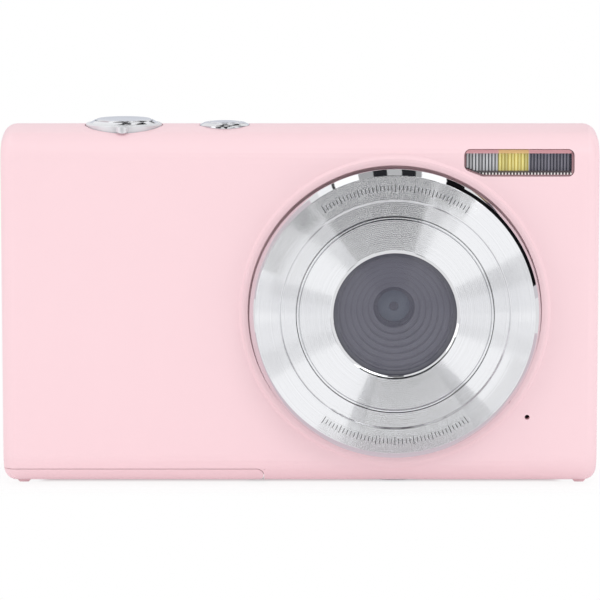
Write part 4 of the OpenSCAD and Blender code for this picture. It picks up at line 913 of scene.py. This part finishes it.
web_turn = flash_low.x + CUT_HIGH
web = web_part("flash_web", web_turn, flash_high.x - WEB_SIDE, flash_low.z + WEB_END)
web_end = web_part("flash_web_end", flash_low.x + WEB_SIDE, web_turn, flash_low.z + CUT_HIGH)
ribbed = joined("flash_ribs", ribs_mesh, web, web_end)
keep_piece(ribbed, "flash_window", "flash_ribs", "flash_ribs", stands_for=False)
print("flash ribs", len(ribs_mesh.polygons), "faces")

# %% [markdown]
# ## The thread of the tripod insert
# The insert takes a quarter-inch screw with twenty turns to the inch. On the real one the thread is cut.
# Here its crest is a four-sided bar wound along a spiral on the wall of the bore, so that one edge of the
# bar stands in the bore.

# %% A crest wound round the bore
tree, (turns, pitch, bore, crest, foot, finish) = start_tree("wound crest", {
    "Turns": "Float", "Pitch": "Float", "Bore": "Float", "Crest": "Float", "Foot": "Vector",
    "Finish": "Material"})
spiral = turns.node("GeometryNodeCurveSpiral", {}, {
    "Resolution": 40, "Rotations": turns, "Start Radius": bore, "End Radius": bore, "Height": turns * pitch})
spiral = spiral.node("GeometryNodeSetCurveNormal", {"mode": "Z_UP"}, {"Curve": spiral})
profile = turns.node("GeometryNodeCurvePrimitiveCircle", {}, {"Resolution": 4, "Radius": crest})
wound = spiral.node("GeometryNodeCurveToMesh", {}, {
    "Curve": spiral, "Profile Curve": profile, "Fill Caps": True})
wound = wound.node("GeometryNodeTransform", {}, {"Geometry": wound, "Translation": foot})
end_tree(tree, wound, finish)

insert_low, insert_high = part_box("tripod_nut")
insert_middle = (insert_low + insert_high) / 2
INCH = 25.4 * MM
THREAD_TURNS = 3.5
THREAD_FOOT = 0.8 * MM
THREAD_CREST = 0.5 * MM
thread_mesh = run_tree(tree, {
    "Turns": THREAD_TURNS, "Pitch": INCH / 20, "Bore": INCH / 8, "Crest": THREAD_CREST,
    "Foot": (insert_middle.x, insert_middle.y, insert_low.z + THREAD_FOOT), "Finish": finishes["steel"]})
keep_piece(joined("tripod_thread", thread_mesh), "tripod_nut", "tripod_thread", stands_for=False)
print("thread", len(thread_mesh.polygons), "faces")

# %% [markdown]
# ## Scale ticks on the lens ring
# The outer flat of the ring carries plain ticks: a fine scale over the top and another under the bottom,
# with every fifth tick longer. They could be a pattern in the finish. As geometry they stay sharp and leave
# the spun metal alone.

# %% Ticks round part of a circle
LONG_EVERY = 5.0
LONG_BY = 0.6
tree, (count, start, step, middle, radius, size, finish) = start_tree("ticks round an axis", {
    "Count": "Int", "Start": "Float", "Step": "Float", "Middle": "Vector", "Radius": "Float",
    "Size": "Vector", "Finish": "Material"})
index = count.node("GeometryNodeInputIndex")
angle = start + index * step
spot = angle.node("ShaderNodeCombineXYZ", {}, {
    "X": angle.sum("COSINE", angle) * radius, "Z": angle.sum("SINE", angle) * radius})
row = count.node("GeometryNodeMeshLine", {"mode": "OFFSET"}, {"Count": count})
row = row.node("GeometryNodeSetPosition", {}, {"Geometry": row, "Position": spot.vector("ADD", spot, middle)})
fifth = index.sum("MODULO", index, LONG_EVERY)
longer = fifth.sum("LESS_THAN", fifth, 0.5) * LONG_BY + 1.0
ticks = row.node("GeometryNodeInstanceOnPoints", {}, {
    "Points": row, "Instance": row.node("GeometryNodeMeshCube", {}, {"Size": size}),
    "Rotation": angle.node("ShaderNodeCombineXYZ", {}, {"Y": 0.0 - angle}),
    "Scale": longer.node("ShaderNodeCombineXYZ", {}, {"X": longer, "Y": 1.0, "Z": 1.0})})
end_tree(tree, ticks, finish)
print("tree of ticks has", len(tree.nodes), "nodes")

# %% Two scales on the ring
TICKS = 41
TICK_STEP = math.radians(1.7)
TICK_RADIUS = 20.4 * MM
TICK_SIZE = Vector((0.8, 0.02, 0.1)) * MM
tick_meshes = []
for half_turn in (90, 270):
    tick_meshes.append(run_tree(tree, {
        "Count": TICKS, "Start": math.radians(half_turn) - TICK_STEP * (TICKS - 1) / 2, "Step": TICK_STEP,
        "Middle": LENS - Vector((0, RING_RISE, 0)), "Radius": TICK_RADIUS, "Size": TICK_SIZE,
        "Finish": finishes["black_plastic"]}))
keep_piece(joined("ring_scale", *tick_meshes), "lens_ring", "ring_scale", "black_plastic", stands_for=False)
print("scales", len(tick_meshes), "with", TICKS, "ticks each")

# %% [markdown]
# ## Controls on the top
# The shutter button is a dished cap that sits in the zoom lever, a coned ring with a finger tab in front.
# The power button sits in a bezel of its own. All are turned and plated, so soft edges matter more here
# than anywhere else. Outlines are counted from the top of the case.

# %% Shutter button
CAP_PROUD = 0.95 * MM
cap_low, cap_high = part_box("shutter_button")
SHUTTER = Vector(((cap_low.x + cap_high.x) / 2, (cap_low.y + cap_high.y) / 2, cad_box[1].z - CAP_PROUD))
cap_outline = [(0, -5), (2.2, -5), (2.2, -0.05), (4.5, -0.05), (4.5, 0.8), (4.35, 0.95), (3.8, 0.93),
               (2.25, 0.85), (0, 0.83)]
turned_piece("shutter_button", cap_outline, 0.1, SHUTTER, closed=False, upright=True)
print("shutter at", [round(v / MM, 2) for v in SHUTTER])

# %% [markdown]
# ## The finger tab
# The tab is the one shape here that no lathe makes. A rounded block would do for its sides, but its
# underside slopes. So it is a stack of rings of corners with a skin over them, sized in millimetres from
# the shutter's axis and the top of the case.

# %% A bar with a round end
TAB_HALF = 1.0
TAB_REACH = 7.3
TAB_ROOT = 5.65
TAB_TOP = 0.33
TAB_LOW = -0.9
TAB_SLOPE = 0.42
TAB_EASE = 0.16
TIP_STEPS = 16


def finger_tab(name, middle):
    """A bar with a half-round end and eased edges, thicker towards its tip."""
    work = bmesh.new()
    levels = [(0.0, 0.0, TAB_EASE), (0.0, TAB_EASE, 0.0), (1.0, -TAB_EASE, 0.0),
              (1.0, -TAB_EASE / 3, TAB_EASE / 3), (1.0, 0.0, TAB_EASE)]
    rings = []
    for share, lift, inset in levels:
        radius = TAB_HALF - inset
        angles = [math.pi + math.pi * k / TIP_STEPS for k in range(TIP_STEPS + 1)]
        plan = [(radius * math.cos(a), TAB_HALF - TAB_REACH + radius * math.sin(a)) for a in angles]
        plan = [(-radius, -TAB_ROOT), *plan, (radius, -TAB_ROOT)]
        ring = []
        for across, along in plan:
            low = TAB_LOW + TAB_SLOPE * (along + TAB_REACH)
            height = low + (TAB_TOP - low) * share + lift
            ring.append(work.verts.new(Vector((across, along, height)) * MM + middle))
        rings.append(ring)
    skin(work, rings)
    return finish_mesh(work, name)


print("finger tab reaches", TAB_REACH, "mm from the shutter's axis")

# %% [markdown]
# ## The zoom lever
# The lever's coned top is polished, and its skirt and tab are satin. Both are one piece of metal, so one
# finish changes from satin to polished at a height above the case.

# %% Zoom lever with its tab
SATIN = 0.42
SATIN_METAL = 0.5
POLISH_STARTS = (0.3 * MM, 0.42 * MM)
lever_outline = [(3.65, -2), (6.15, -2), (6.15, 0.15), (6.05, 0.25), (5.45, 0.37), (4.8, 0.75), (4.7, 0.65),
                 (4.7, -1.05), (3.65, -1.05)]
shader, place = plain_finish("lever_chrome", screen_colour(232, 233, 236), PLATED, 1.0, **PLATING)
_, _, up = place.parts()
polished = (up - SHUTTER.z).past(*POLISH_STARTS)
set_sockets(shader, {
    "Roughness": SATIN - polished * (SATIN - PLATED),
    "Metallic": polished * (1 - SATIN_METAL) + SATIN_METAL,
})
lever = turned_mesh("lever_ring", eased(lever_outline, 0.08), SHUTTER, upright=True)
lever = joined("zoom_lever_shown", lever, finger_tab("lever_tab", SHUTTER))
keep_piece(lever, "zoom_lever", finish="lever_chrome")
print("zoom lever", len(lever.polygons), "faces")

# %% [markdown]
# ## The power button
# The power button is a smaller cap with a flange below, which keeps it from falling out of its bezel. Both
# stand in line with the shutter button.

# %% Power button and bezel
power_low, power_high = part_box("power_button")
POWER = Vector(((power_low.x + power_high.x) / 2, SHUTTER.y, SHUTTER.z))
power_outline = [(0, -5), (1.2, -5), (1.2, -3.3), (3.05, -3.3), (3.05, -2.7), (2.45, -2.7), (2.45, 0.35),
                 (2.3, 0.5), (1.95, 0.48), (0, 0.3)]
bezel_outline = [(2.55, -2.4), (3.3, -2.4), (3.3, -0.5), (4, -0.5), (4, 0), (3.3, 0.36), (2.8, 0.42),
                 (2.55, 0.2)]
turned_piece("power_button", power_outline, 0.1, POWER, closed=False, upright=True)
turned_piece("power_bezel", bezel_outline, 0.08, POWER, upright=True)
print("power button at", [round(v / MM, 2) for v in POWER])

# %% [markdown]
# ## The centre key
# The centre key behind is turned as well, with a soft rim that the thumb finds. Its outline is counted from
# its top.

# %% Centre key
ok_low, ok_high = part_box("key_ok")
CENTRE = Vector(((ok_low.x + ok_high.x) / 2, ok_high.y, (ok_low.z + ok_high.z) / 2))
ok_outline = [(0, -4), (3.7, -4), (3.7, -0.3), (3.4, 0), (2.9, -0.03), (0, -0.12)]
turned_piece("key_ok", ok_outline, 0.12, CENTRE, closed=False)
print("centre key at", [round(v / MM, 2) for v in CENTRE])

# %% [markdown]
# ## The stage
# The camera stands on white. A plain white plane would come out grey, because lamps light it unevenly. So the
# floor and the world are white where the camera, a mirror or a glass looks at them, and the floor keeps the
# object's shadow. Under the body a darker contact shadow is painted into the floor's glow as well. Past the
# shadow the floor is clear to the camera and the white world shows, so the battery door can be seen when it
# hangs open.

# %% Floor and world
FLOOR = 3.0
FLOOR_DROP = 0.02 * MM
FLOOR_GLOW = 0.9
FLOOR_LIFT = 0.16
AMBIENT = 0.9
SHADOW_ENDS = (0.0, 9 * MM)
FOOT_HALF = Vector((48, 8)) * MM
PAINTED_SHADOW_ENDS = (-7.6 * MM, -5 * MM)
PAINTED_SHADOW_GLOW = 0.25


def seen_and_white(tree):
    """Two switches: 1 for rays from the camera, and 1 for those and rays from mirrors and glass."""
    path = tree.nodes.new("ShaderNodeLightPath")
    seen, mirrored, through = (Wire(tree, path.outputs[kind])
                               for kind in ("Is Camera Ray", "Is Glossy Ray", "Is Transmission Ray"))
    return seen, seen.most(mirrored, through)


def flat_sheet(name, corners):
    mesh = bpy.data.meshes.new(name)
    mesh.from_pydata(corners, [], [(0, 1, 2, 3)])
    sheet = bpy.data.objects.new(name, mesh)
    bpy.context.collection.objects.link(sheet)
    return sheet


square = ((-FLOOR, -FLOOR), (FLOOR, -FLOOR), (FLOOR, FLOOR), (-FLOOR, FLOOR))
floor = flat_sheet("floor", [(x, y, -FLOOR_DROP) for x, y in square])
paper = bpy.data.materials.new("paper_floor")
paper.use_nodes = True
tree = paper.node_tree
seen, white = seen_and_white(tree)
glow = white.node("ShaderNodeEmission", {}, {"Color": (1, 1, 1, 1), "Strength": 1.0})
matt = white.node("ShaderNodeBsdfDiffuse", {}, {"Color": (0.98, 0.98, 0.98, 1)})
place = Wire(tree, tree.nodes.new("ShaderNodeTexCoord").outputs["Object"])
across, along, _ = place.parts()
beyond = (across.sum("ABSOLUTE", across) - FOOT_HALF.x).most(along.sum("ABSOLUTE", along) - FOOT_HALF.y)
# Well inside the footprint the floor shows a quarter of its glow, rising to all of it towards the footprint's
# edge: a painted contact shadow.
glow_outside_painted_shadow = beyond.past(*PAINTED_SHADOW_ENDS) * (1 - PAINTED_SHADOW_GLOW) + PAINTED_SHADOW_GLOW
shown_glow = white * (FLOOR_GLOW - FLOOR_LIFT) * glow_outside_painted_shadow + FLOOR_LIFT
blend = white.node("ShaderNodeMixShader", {}, {0: shown_glow, 1: matt, 2: glow})
under = place.node("ShaderNodeNewGeometry", output="Backfacing")
clear = place.node("ShaderNodeBsdfTransparent")
cleared = seen * beyond.past(*SHADOW_ENDS).most(under)
surface = place.node("ShaderNodeMixShader", {}, {0: cleared, 1: blend, 2: clear})
tree.links.new(surface.socket, tree.nodes["Material Output"].inputs["Surface"])
floor.data.materials.append(paper)

world = bpy.data.worlds.new("white_studio")
bpy.context.scene.world = world
world.use_nodes = True
tree = world.node_tree
_, white = seen_and_white(tree)
tree.nodes["Background"].inputs["Color"].default_value = (1, 1, 1, 1)
tree.links.new((white * (1 - AMBIENT) + AMBIENT).socket, tree.nodes["Background"].inputs["Strength"])
print("floor and world made")

# %% [markdown]
# ## Lamps and camera
# Two soft boxes give the gentle shading: a strong one from the upper right and a weak one from the left.
# The camera is straight in front, eight degrees above the table, as in the photograph. A long lens from
# some way off keeps the upright sides of the case parallel.

# %% Soft boxes and a long lens
bpy.context.scene.view_settings.view_transform = "Standard"
AIM = Vector((0.0, 0.0, 29.5)) * MM


def look_at(thing, target):
    thing.rotation_euler = (target - thing.location).to_track_quat("-Z", "Y").to_euler()


def softbox(name, place, width, height, watts):
    lamp = bpy.data.lights.new(name, "AREA")
    lamp.shape = "RECTANGLE"
    lamp.size = width
    lamp.size_y = height
    lamp.energy = watts
    box = bpy.data.objects.new(name, lamp)
    box.location = place
    bpy.context.collection.objects.link(box)
    look_at(box, AIM)


softbox("key_softbox", (0.5, -1.0, 1.1), 0.8, 0.6, 3.2)
softbox("fill_softbox", (-1.1, -0.9, 0.3), 0.7, 0.7, 1.0)

DISTANCE = 0.65
RAISED = math.radians(8)
camera = bpy.data.objects.new("camera", bpy.data.cameras.new("camera"))
bpy.context.collection.objects.link(camera)
camera.data.sensor_width = 36
camera.data.lens = 240
camera.location = AIM + Vector((0, -math.cos(RAISED), math.sin(RAISED))) * DISTANCE
look_at(camera, AIM)
bpy.context.scene.camera = camera
print("camera at", [round(v, 3) for v in camera.location])

# %% [markdown]
# ## A fan of cards
# Bright metal shows its surroundings, and in an all-white room it would look like chalk. A studio hangs
# cards out of view, and here only mirrors see them. A fan-shaped group in front gives the grey wedges of
# the spun flats: its point is where the camera sees itself in a flat on the lens axis, so the sides of the
# fan stay straight along the radius. Below its point the fan goes on as two cards on the floor.

# %% A fan of cards that only mirrors see
def card(name, tone, corners):
    sheet = flat_sheet(name, corners)
    for kind in ("camera", "diffuse", "transmission", "shadow"):
        setattr(sheet, "visible_" + kind, False)
    paint = bpy.data.materials.new(name)
    paint.use_nodes = True
    tree = paint.node_tree
    plain = tree.nodes.new("ShaderNodeEmission")
    plain.inputs["Color"].default_value = tone
    tree.links.new(plain.outputs[0], tree.nodes["Material Output"].inputs["Surface"])
    sheet.data.materials.append(paint)


def card_grey(level):
    return screen_colour(level, level, level + 2)


SOOT = screen_colour(0, 0, 0)
CARD_AWAY = 0.18
CARD_LIFT = 0.1 * MM
sight = LENS - camera.location
fan_point = LENS + Vector((sight.x, -sight.y, sight.z)) * (CARD_AWAY / sight.y)


def fan_corners(start, end, near, far):
    """Corners of a part of the fan, between two angles and two distances from its point."""
    for angle, reach in ((start, near), (start, far), (end, far), (end, near)):
        turn = math.radians(angle)
        yield fan_point + Vector((math.cos(turn), 0, math.sin(turn))) * reach


def on_floor(spot):
    """Where the line from the lens through a spot meets the floor."""
    away = spot - LENS
    return LENS + away * ((LENS.z - CARD_LIFT) / -away.z)


FAN = {
    "fan_core": (card_grey(45), (74, 104), (0.004, 0.26)),
    "fan_grey": (card_grey(70), (104, 126), (0.004, 0.26)),
    "fan_left": (SOOT, (126, 163), (0.102, 0.26)),
    "fan_right": (SOOT, (54, 74), (0.102, 0.26)),
    "dip_right": (card_grey(188), (13, 25), (0.001, 0.2)),
    "dip_left": (card_grey(195), (163, 172), (0.001, 0.2)),
    "side_right": (card_grey(224), (0, 13), (0.001, 0.2)),
    "side_left": (card_grey(224), (172, 180), (0.001, 0.2)),
    "fan_top": (card_grey(120), (82, 98), (0.265, 0.5)),
}
LOW_FAN = {
    "low_left": (card_grey(150), (246, 254), (0.012, 0.2)),
    "low_right": (card_grey(150), (306, 315), (0.012, 0.2)),
}
for name, (tone, angles, reaches) in FAN.items():
    card(name, tone, list(fan_corners(*angles, *reaches)))
for name, (tone, angles, reaches) in LOW_FAN.items():
    card(name, tone, [on_floor(spot) for spot in fan_corners(*angles, *reaches)])
print("fan of", len(FAN) + len(LOW_FAN), "cards from", [round(v / MM, 1) for v in fan_point])

# %% [markdown]
# ## Cards round the sides
# The ring's rim looks sideways and up. A black card to the right makes the dark arc on it, and strips
# overhead, some dark and some brighter than the room, break up its top. A pale card and black strips behind
# tone the buttons. Walls and a card under the lens in the case's own pale pink tint the rest of the rim.

# %% Walls, strips and a card below
def square_card(name, tone, low, high):
    """A card between two corners that have one of their three numbers in common."""
    low, high = Vector(low), Vector(high)
    side = next(k for k in range(3) if low[k] != high[k])
    step = Vector((0, 0, 0))
    step[side] = high[side] - low[side]
    card(name, tone, [low, low + step, high, high - step])


BLACK = screen_colour(20, 20, 22)
WALL = 1.2
WALL_HALF = 0.5
RIGHT_SPLIT = 0.105
CARD_GAP = 0.001
square_card("card_right", BLACK, (WALL, -0.3, RIGHT_SPLIT + CARD_GAP), (WALL, WALL_HALF, 1.95))
square_card("card_behind", screen_colour(219, 222, 230), (-1.5, 1.8, 0.02), (1.5, 1.8, 0.7))
square_card("wall_left", screen_colour(230, 217, 223), (-WALL, -WALL_HALF, 0), (-WALL, WALL_HALF, 1.45))
square_card("wall_right", screen_colour(228, 224, 228), (WALL, -WALL_HALF, 0), (WALL, WALL_HALF, RIGHT_SPLIT))
square_card("floor_under", screen_colour(230, 214, 221), (-0.1, -0.02, CARD_LIFT), (0.13, 0.012, CARD_LIFT))
OVERHEAD = 1.5
LAMP = (1.37, 1.37, 1.37, 1.0)
GLOW = (1.2, 1.2, 1.2, 1.0)
DUSK = screen_colour(45, 45, 48)
STRIPS = ((-1.05, -0.79, GLOW), (-0.79, -0.745, screen_colour(70, 70, 70)), (-0.745, -0.4, LAMP),
          (-0.4, -0.2155, screen_colour(185, 185, 185)), (-0.2155, -0.05, DUSK),
          (-0.05, 0.124, screen_colour(205, 205, 205)), (0.124, 0.29, DUSK),
          (0.29, 0.363, screen_colour(180, 180, 180)), (0.363, 0.698, LAMP), (0.698, 1.0, BLACK))
for left, right, tone in STRIPS:
    square_card("strip_overhead", tone, (left, -0.6, OVERHEAD), (right, 0.8, OVERHEAD))
BEHIND = 1.0
BACK_STRIPS = ((-0.09, 0.05, 0.75, 1.45), (0.135, 0.23, 0.45, 1.0), (-0.13, 0.14, 1.6, 2.3),
               (0.27, 0.44, 1.0, 1.75))
for left, right, low, high in BACK_STRIPS:
    square_card("strip_behind", BLACK, (left, BEHIND, low), (right, BEHIND, high))
print("strips overhead", len(STRIPS), "and behind", len(BACK_STRIPS))
